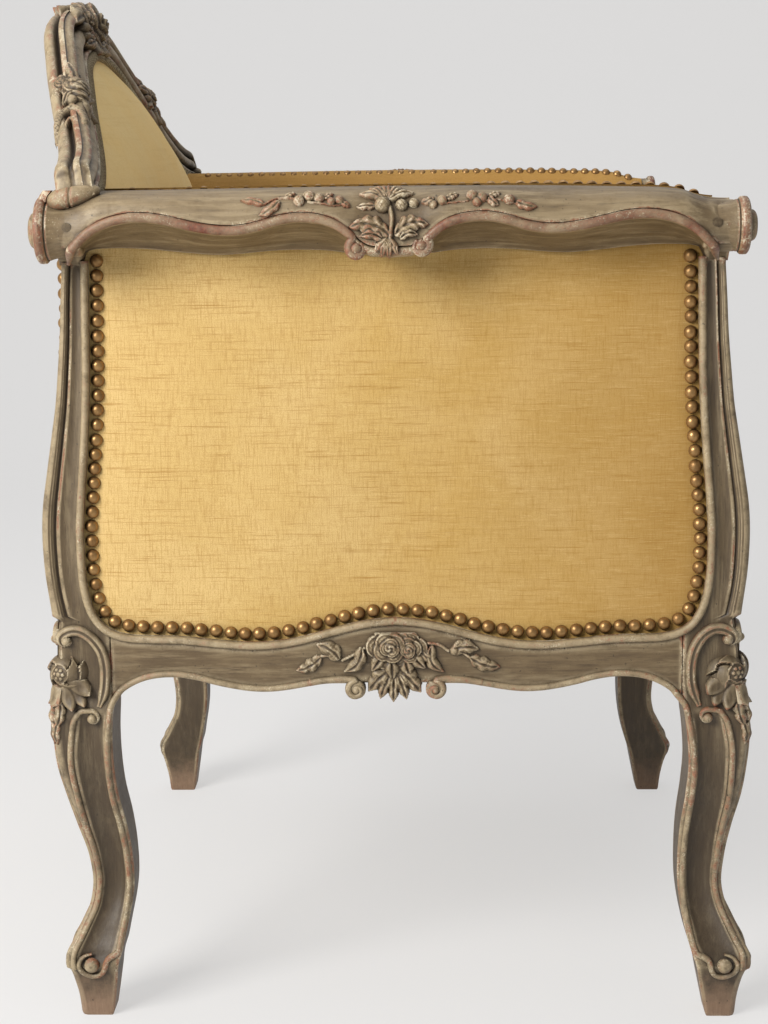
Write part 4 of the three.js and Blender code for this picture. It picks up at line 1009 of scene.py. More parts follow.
class Relief:
    """A carved ground: the height of the wood over a grid of places, raised by one form after another."""

    def __init__(self, across, up, sunk=-2.5):
        self.u, self.v = np.meshgrid(across, up)
        self.height = np.full(self.u.shape, sunk)
        self.sunk = sunk

    def measured(self, root, tip):
        """Share of the way from root to tip, the distance sideways from that line, and its length."""
        root, tip = np.array(root, float), np.array(tip, float)
        length = np.linalg.norm(tip - root)
        along = (tip - root) / length
        du, dv = self.u - root[0], self.v - root[1]
        return (du * along[0] + dv * along[1]) / length, -du * along[1] + dv * along[0], length

    def raise_to(self, height, where):
        self.height = np.where(where, np.maximum(self.height, height), self.height)

    def dome(self, centre, radius, rise, flat=1.0):
        reach = np.hypot(self.u - centre[0], (self.v - centre[1]) / flat) / radius
        self.raise_to(rise * np.sqrt(np.clip(1 - reach ** 2, 0, 1)), reach < 1)

    def leaf(self, root, tip, width, rise, bend=0.0, lobes=3):
        """A leaf with a sunk midrib and a lobed edge, curving sideways by bend."""
        s, t, length = self.measured(root, tip)
        t = t - bend * 4 * s * (1 - s)
        inside = np.clip(s, 0, 1)
        half = width / 2 * np.sin(math.pi * inside ** 0.75) ** 0.7
        half = half * (0.78 + 0.28 * np.abs(np.sin(lobes * math.pi * inside + 0.4)))
        across = np.abs(t) / np.maximum(half, 1e-3)
        body = np.clip(1 - across ** 2, 0, 1) ** 0.45
        swell = 0.55 + 0.45 * np.sin(math.pi * np.clip(inside * 0.9 + 0.05, 0, 1))
        vein = 0.3 * rise * np.exp(-(t / (0.06 * width + 0.35)) ** 2)
        ribs = 0.1 * rise * np.cos(2 * math.pi * lobes * (inside - np.abs(t) / length * 0.8))
        self.raise_to(rise * body * swell - vein + ribs * body, (s > 0) & (s < 1) & (across < 1))

    def petal(self, root, tip, width, rise, hollow=0.14):
        """A plump smooth petal, hollowed towards its tip, with a thick rolled edge."""
        s, t, _ = self.measured(root, tip)
        half = width / 2 * np.sin(math.pi * np.clip(s, 0, 1) ** 0.85) ** 0.55
        across = np.abs(t) / np.maximum(half, 1e-3)
        body = np.clip(1 - across ** 2, 0, 1) ** 0.55
        dip = hollow * rise * np.exp(-((s - 0.6) / 0.24) ** 2 - (t / (0.24 * width)) ** 2)
        swell = 0.6 + 0.4 * np.clip(s, 0, 1)
        self.raise_to(rise * body * swell - dip, (s > 0) & (s < 1) & (across < 1))

    def strand(self, points, width, rise, taper):
        """A round stem or scroll along a path."""
        path = smooth_path(points, 0.8)
        share = np.linspace(0, 1, len(path))
        near = np.full(self.u.shape, 1e9)
        size = np.ones(self.u.shape)
        for (pu, pv), t in zip(path, share):
            reach = np.hypot(self.u - pu, self.v - pv)
            closer = reach < near
            near = np.where(closer, reach, near)
            size = np.where(closer, 1 - taper * t, size)
        across = near / (width / 2 * size)
        self.raise_to(rise * size * np.sqrt(np.clip(1 - across ** 2, 0, 1)), across < 1)

    def bloom(self, centre, radius, rise, start, open_face=(0.0, 0.0)):
        """A rose: overlapping rings of cupped petals round a wound bud."""
        rings = (0.66, 0.5, 5, 0.1), (0.4, 0.44, 4, 0.36), (0.2, 0.32, 3, 0.6)
        for ring, (out, size, count, low) in enumerate(rings):
            lean_u, lean_v = (open_face[k] * radius * 0.3 * ring / 2 for k in (0, 1))
            for k in range(count):
                angle = start + ring * 0.9 + 2 * math.pi * k / count
                cu = centre[0] + lean_u + radius * out * math.cos(angle)
                cv = centre[1] + lean_v + radius * out * math.sin(angle)
                du, dv = self.u - cu, self.v - cv
                radial = (du * math.cos(angle) + dv * math.sin(angle)) / (radius * size)
                tangent = (-du * math.sin(angle) + dv * math.cos(angle)) / (radius * size * 1.18)
                reach = np.hypot(radial, tangent)
                cup = 0.55 + 0.45 * np.clip(radial, -1, 1)
                cup = cup - 0.18 * np.exp(-((reach - 0.72) / 0.16) ** 2)
                height = rise * (low + 0.5 * cup * np.clip(1 - reach ** 6, 0, 1) ** 0.35)
                self.raise_to(height, reach < 1)
        du = self.u - centre[0] - open_face[0] * radius * 0.3
        dv = self.v - centre[1] - open_face[1] * radius * 0.3
        reach = np.hypot(du, dv) / (radius * 0.26)
        spiral = 0.07 * np.sin(2 * np.arctan2(dv, du) - reach * 5)
        self.raise_to(rise * (0.86 + 0.16 * np.sqrt(np.clip(1 - reach ** 2, 0, 1)) + spiral), reach < 1)

    def roughen(self, amount=0.25, seed=3):
        """The slight unevenness of hand carving under old paint."""
        rng = np.random.default_rng(seed)
        for wave in (5.0, 2.3):
            shift = rng.uniform(0, 6.28, 4)
            self.height = self.height + amount * wave / 5 * (
                np.sin(self.u * 6.28 / wave + shift[0] + np.sin(self.v * 3.1 / wave + shift[1]))
                * np.sin(self.v * 6.28 / wave + shift[2] + np.sin(self.u * 2.7 / wave + shift[3])) * 0.5)

    def patch(self, ground, normals):
        """Points and faces of the carved forms on a ground of points with normals."""
        shown = self.height > self.sunk + 0.8
        cells = shown[:-1, :-1] | shown[1:, :-1] | shown[:-1, 1:] | shown[1:, 1:]
        front = ground + normals * self.height[..., None]
        back = ground + normals * (self.sunk - 1.0)
        return closed_patch(front, back, cells)


def carving_place(points, axis, direction):
    """As rail_place, but as long on every rail."""
    placed = rail_place(points, axis, direction)
    if axis == "cross":
        placed[..., 0] = np.asarray(points)[..., 0]
    return placed


def rail_relief(axis, direction):
    """Rose with leaves and a shell between the two scrolls in the middle of a seat rail."""
    art = Relief(np.arange(-90, 88, 0.7), np.arange(282, 342, 0.7))
    art.leaf((62, 321), (83, 309), 12, 4.2, bend=-2, lobes=3)
    art.leaf((46.5, 319), (66, 332), 15, 4.6, bend=3, lobes=2)
    art.leaf((28, 329), (43.5, 308), 13, 5.2, bend=-5, lobes=2)
    art.leaf((-19, 330), (-33, 317), 11, 4.6, bend=2, lobes=2)
    art.leaf((-30, 331), (-41, 307.5), 12, 5.4, bend=6, lobes=2)
    art.leaf((-46, 325.5), (-70, 327), 14, 4.6, bend=-3.5, lobes=2)
    art.leaf((-62, 320), (-87.5, 312), 13, 4.4, bend=2, lobes=3)
    art.dome((-49, 326), 4.2, 4.4)
    art.strand([(44, 318), (36, 322), (26, 328), (18, 329)], 3.2, 2.4, 0.2)
    art.strand([(64, 321), (56, 322), (46, 320)], 3.0, 2.2, 0.2)
    art.strand([(-44, 326), (-36, 331), (-26, 332), (-18, 329)], 3.2, 2.4, 0.2)
    art.strand([(-62, 320), (-56, 324), (-47, 325)], 3.0, 2.2, 0.2)
    shell = ((23, 291), 17), ((13, 284.5), 13), ((2, 281.5), 12), ((-9, 284), 13), ((-21, 290), 17)
    for tip, width in shell:
        art.leaf((1, 312), tip, width, 5.4, bend=0.1 * tip[0], lobes=3)
    art.leaf((11, 322), (20, 309), 12, 7.2, lobes=1)
    art.leaf((3, 318), (2.5, 301), 13, 7.6, lobes=1)
    art.leaf((-8, 318), (-12, 304), 12, 7.0, lobes=1)
    art.leaf((-14, 322), (-25, 311), 12, 6.6, lobes=1)
    art.bloom((-11.5, 327), 13.5, 8.5, 0.4, (0.3, 0.2))
    art.bloom((5.5, 329), 16.5, 10.5, 0.1, (-0.2, 0.25))
    art.roughen()
    flat = np.full(art.u.shape, -RAIL_FLAT)
    ground = carving_place(np.stack([art.u, flat, art.v], -1), axis, direction)
    return art.patch(ground, np.broadcast_to(rail_normal(axis, direction), ground.shape))


RAIL_CURL = (33, 292.6)         # centre of a rail's middle scroll: [from the middle, height]


def rail_scrolls(axis, direction):
    """The two scrolls in which the lower bead ends, either side of the shell."""
    parts = []
    normal = rail_normal(axis, direction)
    lead = [(72, 298.5), (62, 300.3), (50, 301.4), (41, 301.9)]
    wound = curl(RAIL_CURL, 8.4, math.pi * 0.6, 1.15, -1, 40, 2.2)
    path = smooth_path(np.r_[lead, wound[2:]], 1.2)
    count = len(path)
    lift = 3.5 * smooth_step(np.linspace(0, 1, count), 0.3, 1)
    section = tapered(6.0, 3.4, count, tail=0.3, ends=0.6)
    for hand in (-1, 1):
        placed = carving_place(np.c_[hand * path[:, 0], lift - RAIL_FLAT, path[:, 1]], axis, direction)
        parts.append(sweep(placed, all_facing(normal, placed), section))
        hub = carving_place([hand * RAIL_CURL[0], 1.0 - RAIL_FLAT, RAIL_CURL[1]], axis, direction)
        parts.append(dome(hub, normal, 8.0, 3.4, 22, 6, 8.0))
        parts.append(dome(hub + normal * 1.5, normal, 3.4, 4.2, 16, 6))
    return parts


# Carving on the arms, the knees and the back

LIP_CURLS = [((27.0, 661.0), 1), ((-24.0, 663.0), -1)]     # centre and hand of the curls at the lip's middle


def lip_bead():
    """The rubbed bead along the lip of the roll, on the +X side, ending in a curl at the middle."""
    parts = []
    for (centre_y, centre_z), hand in LIP_CURLS:
        along = np.r_[256.5, 254, np.arange(250, 33, -3.0)]
        height = follow(LIP, along) + 1.2
        height[:2] = (648.5, 653)
        middle = abs(centre_y) - 0.5
        wound = curl((middle, centre_z), 7.4, math.pi * 0.42, 0.95, 1, 30, 4.6)[2:]
        wound[:, 0] = 2 * middle - wound[:, 0]
        flat = smooth_path(np.r_[np.c_[along, height], [(30, 669.5)], wound[3:]], 2.0)
        near_post = smooth_step(flat[:, 0], 249, 258)
        out = 44.6 - 26 * near_post * (flat[:, 1] < 660)
        path = np.c_[HALF_WIDTH + out, hand * flat[:, 0], flat[:, 1]]
        section = tapered(7.2, 3.4, len(path), head=0.04, tail=0.05, ends=0.4, steps=9)
        parts.append(sweep(path, all_facing((0.96, 0, -0.28), path), section))
        hub = np.array([HALF_WIDTH + 43.5, centre_y, centre_z])
        parts.append(dome(hub, (1.0, 0, 0), 5.2, 5.4, 18, 6, 4.0))
    return parts


# Forms of the sprays on an arm, by the names of the relief's tools
LEFT_SPRAY = [
    ("leaf", (98, 695.5), (117, 699.5), 7.5, 3.4, 1.0, 2),
    ("leaf", (86, 698), (103, 686.5), 8.5, 3.8, -1.5, 2),
    ("strand", [(98, 695.5), (90, 700), (80, 701), (70, 699)], 2.2, 1.8, 0.3),
    ("leaf", (82, 702), (73, 707), 6, 2.8),
    ("dome", (63, 702.5), 5.4, 5.0, 0.85),
    ("dome", (71, 698), 4.6, 4.4),
    ("dome", (55.5, 700.5), 4.4, 4.2),
    ("leaf", (52, 700), (44, 706), 6, 2.8),
    ("dome", (39.5, 699), 3.8, 3.8),
    ("dome", (46, 697.5), 3.6, 3.6),
    ("leaf", (38, 697), (31, 693), 6, 3.0),
    ("strand", [(64, 697), (54, 696), (44, 694), (34, 696)], 2.0, 1.6, 0.2),
]
RIGHT_SPRAY = [
    ("leaf", (-24, 696), (-34, 701), 7.5, 3.4, 1.0, 2),
    ("dome", (-40, 698), 4.4, 4.4),
    ("dome", (-33, 694.5), 3.6, 3.6),
    ("leaf", (-43, 699), (-53, 704), 7, 3.2),
    ("strand", [(-38, 695), (-50, 696), (-60, 697)], 2.0, 1.6, 0.2),
    ("dome", (-63.5, 702), 5.0, 4.8, 0.9),
    ("dome", (-71, 700), 4.6, 4.4),
    ("dome", (-67, 696), 3.8, 3.8),
    ("leaf", (-76, 700), (-84, 693), 7, 3.2, 1.0, 2),
    ("leaf", (-76, 701), (-86, 705), 6, 2.8),
    ("dome", (-92, 698), 4.8, 4.4, 0.9),
    ("strand", [(-74, 697), (-84, 698), (-94, 695), (-104, 694)], 2.0, 1.6, 0.3),
    ("leaf", (-97, 696), (-114, 692), 8, 3.6, 1.5, 2),
]


def arm_relief():
    """Flower, leaves and shell in the middle of an arm, and the sprays beside them, on the +X side."""
    art = Relief(np.arange(-41, 42, 0.6), np.arange(651, 720, 0.6), -4.0)
    for tip, width in (((25, 705), 9), ((17, 713), 10), ((4, 717), 11), ((-9, 714), 10), ((-19, 706), 9)):
        art.leaf((3, 699), tip, width, 5.0, bend=0.05 * tip[0], lobes=2)
    art.leaf((12, 694), (27, 693), 7, 3.6, lobes=2)
    art.dome((6.3, 694.5), 6.6, 7.4)
    art.dome((-8.5, 694.5), 5.0, 5.6)
    art.dome((-18, 696), 4.2, 4.4)
    art.strand([(0.5, 692), (-1, 684), (0, 674), (1, 664)], 4.6, 4.0, 0.2)
    art.leaf((1, 671), (33, 677.5), 16, 5.6, bend=5, lobes=4)
    art.leaf((6, 668), (25, 670), 9, 6.4, bend=3, lobes=2)
    art.leaf((-3, 671), (-30, 679), 15, 5.4, bend=-5, lobes=4)
    art.leaf((-7, 668), (-22, 671), 8, 6.0, bend=-3, lobes=2)
    for tip, width in (((13, 656), 8), ((7.5, 652.5), 8), ((1, 651.5), 8), ((-6, 654), 8)):
        art.leaf((2, 669), tip, width, 5.2, lobes=1)
    art.roughen(0.3, 5)
    parts = [art.patch(*arm_ground(art.u, art.v))]
    for forms, low, high in ((LEFT_SPRAY, 30, 122), (RIGHT_SPRAY, -118, -22)):
        art = Relief(np.arange(low, high, 0.7), np.arange(682, 712, 0.7), -3.0)
        for kind, *measures in forms:
            getattr(art, kind)(*measures)
        art.roughen(0.25, 7)
        parts.append(art.patch(*arm_ground(art.u, art.v)))
    return parts


def ball_bloom(centre, axis, radius, rise, start):
    """A round rose that is seen from all sides: petals in relief on a ball."""
    reach = radius * 2.1
    art = Relief(np.arange(-reach, reach, 0.75), np.arange(-reach, reach, 0.75), -1.0)
    flat = np.hypot(art.u, art.v) / reach
    angle = np.arctan2(art.v, art.u) - start
    art.height[:] = 0
    for low, high, petals, twist, step in ((0.46, 1.1, 5, 1.2, 1.2), (0.2, 0.46, 4, 2.2, 1.0)):
        share = np.mod((angle + low * 9 - flat * twist) * petals / (2 * math.pi), 1)
        lap = rise * step * (0.2 + 0.8 * share ** 0.8) * np.clip(share * 12, 0.3, 1)
        art.raise_to(lap, (flat >= low) & (flat < high))
    art.raise_to(rise * (0.8 + 0.2 * np.cos(flat * 20)), flat < 0.22)
    for k in range(6):
        seed = (reach * 0.1 * math.cos(k * 1.05), reach * 0.1 * math.sin(k * 1.05))
        art.dome(seed, reach * 0.055, rise * 1.15)
    axis = unit(np.asarray(axis, float))
    side = unit(np.cross(axis, [0, 0, 1.0]))
    other = np.cross(side, axis)
    flat = np.hypot(art.u, art.v)
    turn = np.minimum(flat / radius, 2.2)[..., None]
    round_u, round_v = (np.where(flat > 0, k / np.maximum(flat, 1e-6), 0)[..., None] for k in (art.u, art.v))
    normal = np.cos(turn) * axis + np.sin(turn) * (round_u * side + round_v * other)
    cells = flat[:-1, :-1] < reach * 0.97
    inner = centre + normal * (radius - 3.5)
    return closed_patch(centre + normal * (radius + art.height[..., None]), inner, cells)


def knee_relief(end):
    """Rose on the corner of a knee, with petals and a hanging leaf on both faces below it."""
    height = 306.0
    out_x, _, out_y, _ = (float(v) for v in leg_reach(height, end))
    centre = np.array([out_x - 14, end * (out_y - 14), height])
    parts = [ball_bloom(centre, (1, 0.5 * end, 0.1), 16, 4.2, 0.3)]
    for on_side in (True, False):
        art = Relief(np.arange(-0.2, 32, 0.7), np.arange(243, 303, 0.7), -2.5)
        art.petal((12, 303), (33, 290), 17, 9.0)
        art.petal((9, 298), (18, 277), 15, 8.0)
        art.petal((14, 298), (28, 280), 13, 6.4)
        art.petal((4, 298), (2, 279), 12, 5.0)
        art.leaf((7, 283), (3.6, 262), 10, 4.4, bend=1.6, lobes=2)
        art.leaf((4.5, 266), (3.4, 246), 6.5, 3.4, bend=-1, lobes=2)
        edge = np.clip(POST_ROUND - art.u, 0, POST_ROUND)
        rounding = POST_ROUND - np.sqrt(POST_ROUND ** 2 - edge ** 2)
        ground = face_point(end, art.u, art.v, -rounding, on_side)
        normal, sideways = face_normal(end, on_side), face_normal(end, not on_side)
        tilt = (edge / POST_ROUND)[..., None]
        parts.append(art.patch(ground, unit(normal * (1.05 - tilt * 0.5) + sideways * tilt * 0.8)))
    return parts


def crest_relief():
    """Flowers and leaves over the middle of the crest, standing above its top edge."""
    art = Relief(np.arange(-74, 74, 0.9), np.arange(-5, 66, 0.9), -9.0)
    for tip, width in (((-34, 54), 16), ((-17, 61), 16), ((0, 64), 17), ((17, 61), 16), ((34, 54), 16)):
        art.petal((0, 30), tip, width, 9.5, 0.35)
    for hand in (-1, 1):
        art.leaf((hand * 12, 22), (hand * 70, 34), 17, 8.5, hand * 6, 3)
        art.leaf((hand * 14, 14), (hand * 60, 13), 14, 8.0, hand * -4, 3)
        art.petal((hand * 6, 12), (hand * 26, -4), 13, 9.5)
        art.petal((hand * 2, 12), (hand * 7, -5), 11, 9.0)
        art.bloom((hand * 32, 29), 13, 13.0, 0.5, (0.1 * hand, 0.2))
        art.dome((hand * 47, 25), 5.5, 10)
        art.dome((hand * 54, 18), 4.2, 8.5)
        art.dome((hand * 41, 14), 4.6, 9.5)
    art.bloom((0, 24), 20, 19.0, 0.2, (0.0, -0.2))
    art.roughen(0.4, 17)
    return art.patch(*arch_ground(art.u, art.v))


def shoulder_relief(side):
    """Flower and leaves on a shoulder of the back, with the arched scroll heading the moulding below it."""
    art = Relief(np.sort(side * np.arange(140, 252, 0.8)), np.arange(-1, 76, 0.8), -6.0)
    width = float(arch_width(190.0))
    for x, up, size in ((152, 2, 11), (158, -12, 12), (214, -16, 11), (203, 12, 9)):
        art.leaf((side * 184, width - 2), (side * x, width + up), size, 6.0, 0, 2)
    art.petal((side * 186, width - 6), (side * 172, width - 28), 12, 7.5)
    art.petal((side * 190, width - 8), (side * 200, width - 28), 11, 7.0)
    art.bloom((side * 185, width - 3), 12.0, 10.0, 0.8, (0.0, 0.1))
    art.bloom((side * 174, width + 9), 7.5, 5.5, 0.1)
    art.dome((side * 198, width + 3), 4.6, 5.5)
    art.dome((side * 173, width - 16), 4.6, 7.5)
    head = [(250, -7), (236, -7), (222, -6), (212, -2), (208, 4), (211, 11), (220, 15), (234, 17), (250, 17)]
    art.strand([(side * x, width + up) for x, up in head], 7.5, 4.0, 0.05)
    inner = [(250, 2), (234, 2), (225, 3), (222, 5.5), (226, 8), (250, 9)]
    art.strand([(side * x, width + up) for x, up in inner], 3.6, 2.4, 0.05)
    art.height -= 9 * smooth_step(np.abs(art.u), 226, 250)
    art.roughen(0.4, 19)
    return art.patch(*arch_ground(art.u, art.v))


def arm_scroll():
    """The rolled leaf in which the back's moulding ends on the arm, and its ribbon, on the +X side."""
    share = np.linspace(-1, 1, 60)
    middle, half = 249, 21.5
    radius = (8.6 + 1.6 * share) * np.sqrt(1 - np.abs(share) ** 3)
    radius = radius - 0.9 * np.exp(-((share - 0.1) / 0.05) ** 2)
    roll, faces = lathe_y(np.c_[radius, middle + half * share], 350, 0.0, 30)
    along = (roll[:, 1] - middle) / half
    roll[:, 2] += 702.5 - 4.5 * along
    roll[:, 0] -= 3.0 * along ** 2
    ribbon = smooth_path([(270.5, 707), (273.6, 702.5), (275.6, 696), (276.6, 687)], 1.5)
    path = np.c_[np.full(len(ribbon), 345.0), ribbon]
    edge = sweep(path, all_facing((0, 1, 0), path), half_round(9, 3.0, 8, 4.0))
    return [(roll, faces), edge]


# Frame of the back

# Front of its moulding from the inner edge: [share of the width, share of the front's depth]
BACK_MOULD = [
    (-0.02, 0.9), (0, 0.2), (0.03, -0.45), (0.075, -0.8), (0.12, -0.75), (0.15, -0.3), (0.17, 0.4),
    (0.2, 0.75), (0.235, 0.7), (0.26, 0.2), (0.28, -0.4), (0.32, -0.85), (0.38, -1.05), (0.45, -1.08),
    (0.52, -0.98), (0.58, -0.74), (0.62, -0.4), (0.65, 0.1), (0.67, 0.8), (0.7, 1.1), (0.73, 0.8),
    (0.75, 0), (0.78, -0.55), (0.83, -0.9), (0.88, -0.95), (0.93, -0.75), (0.975, -0.2), (1, 0.6),
]
# The rest of its section, backwards round to the inner edge: [share of the width, depth]
BACK_REAR = [
    (1.02, 1.2), (1.045, 3.0), (1.04, 5.0), (1.0, 6.4), (0.93, 7.2), (0.87, 8.2), (0.86, 9.4),
    (0.9, 10.4), (0.97, 11.2), (1.02, 12.6), (1.04, 14.6), (1.03, 17), (0.99, 19.4), (0.92, 21.6),
    (0.8, 23), (0.1, 23), (0, 19), (-0.28, 19), (-0.28, 12.8), (-0.02, 12.8),
]
ARCH_END = 354.0


def back_face(x, height):
    above = (height - ARM_TOP) / BACK_BEND
    bend = BACK_BEND * np.logaddexp(0, above)
    return (BACK_FACE + LOWER_SLOPE * (height - ARM_TOP) + (BACK_SLOPE - LOWER_SLOPE) * bend
            - BACK_BOW * (x / ARCH_HALF) ** 2)


def arch_height(x):
    return follow(ARCH, np.abs(x))


def arch_frame(x):
    """Place on the inner edge of the arch, and the directions outwards and backwards there."""
    x = np.asarray(x, float)
    step = 1.5

    def spot(at):
        high = arch_height(at)
        return np.stack([at, back_face(at, high), high], -1)
    along = unit(spot(x + step) - spot(x - step))
    high = arch_height(x)
    slope = (back_face(x, high + step) - back_face(x, high - step)) / (2 * step)
    depth = unit(np.stack([2 * BACK_BOW * x / ARCH_HALF ** 2, np.ones_like(x), -slope], -1))
    return spot(x), unit(np.cross(along, depth)), depth


def arch_width(x):
    narrow = smooth_step(np.abs(x) / ARCH_HALF, 0.5, 1)
    end = np.clip((np.abs(x) - ARCH_END + 22) / 22, 0, 0.995)
    return ARCH_FACE * (1 - 0.32 * narrow) * np.sqrt(1 - end ** 2)


def back_frame(start, stop):
    places = np.linspace(start, stop, max(int(abs(stop - start) / 2.2), 8))
    spot, out, depth = arch_frame(places)
    rings = []
    for k, x in enumerate(places):
        width = float(arch_width(x))
        rows = [(o * width, d * ARCH_FRONT) for o, d in BACK_MOULD]
        rows += [(max(o, -0.28) * width, d) for o, d in BACK_REAR]
        rows = np.array(rows)
        rings.append(spot[k] + rows[:, :1] * out[k] + rows[:, 1:] * depth[k])
    return loft(rings)


def stile_post(side):
    """The upright part of a back stile, behind the corner of the seat."""
    inner, outer = 242.0, 278.4
    rows = [(352.3, 272.7, 0), (356, outer, 0), (540, outer, 0), (645, outer, 0.08), (705, outer, 0.26)]
    rings = []
    for height, edge, drawn in rows:
        front = float(back_face(inner, height)) + 13.5
        rear = 263.5 - ARCH_BACK * drawn
        rings.append([(side * inner, front, height), (side * edge, front, height),
                      (side * edge, rear, height), (side * inner, rear, height)])
    return loft(rings)


def arch_ground(across, out):
    """Points and normals on the back's frame, for grids of x and distance outwards.

    Outwards goes over its front, round the outer edge and on backwards over the side of the frame.
    """
    spot, outward, depth = arch_frame(across)
    width = arch_width(across)
    round_edge = 7.0
    turn = np.clip((out - width + round_edge) / round_edge, 0, math.pi / 2)[..., None]
    on_back = np.clip(out - width + round_edge - round_edge * math.pi / 2, 0, None)[..., None]
    flat = np.minimum(out, width - round_edge)[..., None]
    points = (spot + (flat + round_edge * np.sin(turn)) * outward
              + (on_back + round_edge * (1 - np.cos(turn)) - ARCH_FRONT * 0.6) * depth)
    return points, np.sin(turn) * outward - np.cos(turn) * depth


# Covers, pads and their trimming

def inside_reach(across, up, outline):
    """Distance of grid places from a closed outline, positive inside it."""
    flat = np.c_[across.ravel(), up.ravel()]
    ends = np.roll(outline, -1, 0)
    best = np.full(len(flat), 1e9)
    inside = np.zeros(len(flat), bool)
    for (ax, ay), (bx, by) in zip(outline, ends):
        span = np.array([bx - ax, by - ay])
        t = np.clip(((flat - [ax, ay]) @ span) / max(span @ span, 1e-9), 0, 1)
        best = np.minimum(best, np.hypot(*(flat - [ax, ay] - t[:, None] * span).T))
        if ay != by:
            crosses = (ay > flat[:, 1]) != (by > flat[:, 1])
            inside ^= crosses & (flat[:, 0] < ax + (flat[:, 1] - ay) * (bx - ax) / (by - ay))
    return (np.where(inside, best, -best)).reshape(across.shape)


def crowned(reach, crown):
    """Swell of a stretched cover at a distance from its edge, drawn down along the row of nails."""
    swell = crown * (1 - np.exp(-np.clip(reach, 0, None) / 60))
    return swell - 1.1 * np.exp(-((reach - NAIL_INSET) / 6.5) ** 2)


def whole_cells(keep):
    """The cells of a grid whose four corners are all kept."""
    return keep[:-1, :-1] & keep[1:, :-1] & keep[:-1, 1:] & keep[1:, 1:]


def panel_outline():
    half = smooth_path([(0, 352.4)] + [(y, z) for y, z in PANEL_EDGE[1:]], 4.0)
    half = half[half[:, 1] < 650]
    right = np.r_[half, [[half[-1, 0], 662.0]]]
    return np.r_[right, right[::-1] * [-1, 1]]


def side_cover(side):
    across, up = np.meshgrid(np.arange(-264, 265, 3.0), np.arange(326, 664, 3.0))
    reach = inside_reach(across, up, panel_outline())
    cove = follow(COVE, np.abs(across)) + 1.0
    keep = (reach > -2.5) & (up < cove + 2.5)
    up = np.minimum(up, cove)
    face = COVER_FACE + crowned(reach, COVER_CROWN) * smooth_step(cove - up, -2, 30)
    face = face + 0.35 * np.sin(across / 23 + up / 41) * smooth_step(reach, 5, 60)
    front = np.stack([face, across, up], -1)
    return mirrored([closed_patch(front, front - [COVER_THICK, 0, 0], whole_cells(keep))], side)


# Swell of the back cover below the arms: [share of the height from seat to arms, share of 19 mm]
BACK_SWELL = [(0, 0.72), (0.18, 0.98), (0.35, 0.76), (0.52, 0.5), (0.7, 0.36), (0.87, 0.3), (1, 0)]


def back_cover_face(x, height):
    share = np.clip((height - SEAT_LEDGE) / (ARM_TOP - SEAT_LEDGE), 0, 1)
    return back_face(x, np.maximum(height, ARM_TOP)) + 24.2 + 19 * follow(BACK_SWELL, share)


def back_cover_outline():
    edge = smooth_path([(-1.14 * y, z) for y, z in PANEL_EDGE[::-1] if z < 420], 4.0)
    edge = edge[edge[:, 1] < 400]
    half = 278.0
    x = np.linspace(half, -half, 120)
    top = np.c_[x, arch_height(x) - 9]
    low = np.r_[edge, (edge * [-1, 1])[::-1]]
    low = low[np.abs(low[:, 0]) < half]
    return np.r_[[(-half, 400.0)], low, [(half, 400.0)], top]


def back_cover(outline):
    across, up = np.meshgrid(np.arange(-281, 282, 3.5), np.arange(328, 816, 3.5))
    reach = inside_reach(across, up, outline)
    face = back_cover_face(across, up) + crowned(reach, 4.0)
    front = np.stack([across, face, up], -1)
    return closed_patch(front, front - [0, COVER_THICK, 0], whole_cells(reach > -3))


def front_border():
    across, up = np.meshgrid(np.arange(-273, 274, 3.5), np.linspace(0, 1, 16))
    low = follow(RAIL_EDGES, np.abs(across) / CROSS_SCALE, 2) - 2.5
    height = low + (371 - low) * up
    face = -(HALF_DEPTH - REBATE + GAP + 5) - 3.5 * np.sin(math.pi * up) ** 0.7
    front = np.stack([across, face, height], -1)
    return closed_patch(front, front + [0, 3.5, 0])


def back_pad():
    """Stuffed inside of the back, up into the arch."""
    half = 322
    across, share = np.meshgrid(np.linspace(-half, half, 130), np.linspace(0, 1, 100))
    top = arch_height(across) - 1.0
    foot = np.where(np.abs(across) > 272, 703.5, np.where(np.abs(across) > 250, 688.0, 392.0))
    foot = np.minimum(foot, top - 0.5)
    height = foot + (top - foot) * share
    reach = np.minimum(top - height, (half - np.abs(across)) * 1.1) - 8.5
    above_seat = smooth_step(height, 380, 470)
    swell = 30 * (1 - np.exp(-np.clip(reach, 0, None) / 42)) * above_seat
    swell = swell * (1 - 0.55 * smooth_step(np.abs(across), 190, 262))
    raised = 4.8 * smooth_step(reach, -8, -1) * above_seat
    face = back_face(across, height) + 1.0 - swell - raised
    front = np.stack([across, face, height], -1)
    back = np.stack([across, back_face(across, height) + 9.0, height], -1)
    return closed_patch(front, back)


# Section of an arm pad: [out from the frame's face, height]
ARM_PAD_ROWS = [
    (-43, 396), (-52, 393), (-60, 396), (-64, 410), (-67, 450), (-69, 500), (-70, 550), (-69, 600),
    (-66.5, 640), (-62.5, 668), (-57, 685), (-50, 696.5), (-45, 702), (-41.5, 704.8), (-38, 706.2),
    (-35.6, 706.4), (-35.4, 705.4), (-38.5, 704.6), (-40.4, 702), (-41.2, 696), (-42, 690), (-42, 560),
]


def arm_pad(side):
    rows = smooth_path(ARM_PAD_ROWS, 6.0)
    rings = []
    for along in np.r_[-259, -257, -253, np.arange(-248, 227, 6), 230, 234, 238]:
        thick = 0.3 + 0.7 * math.sqrt(max(1 - max(0, (-along - 236) / 23.5) ** 2, 0))
        level = float(follow(ARM_LEVEL, along)) - ARM_TOP
        out = -41 + (rows[:, 0] + 41) * np.where(rows[:, 0] < -41, thick, 1)
        rise = rows[:, 1] + level * smooth_step(rows[:, 1], 600, 700)
        rings.append(np.c_[side * (HALF_WIDTH + out), np.full(len(rows), along), rise])
    return loft(rings)


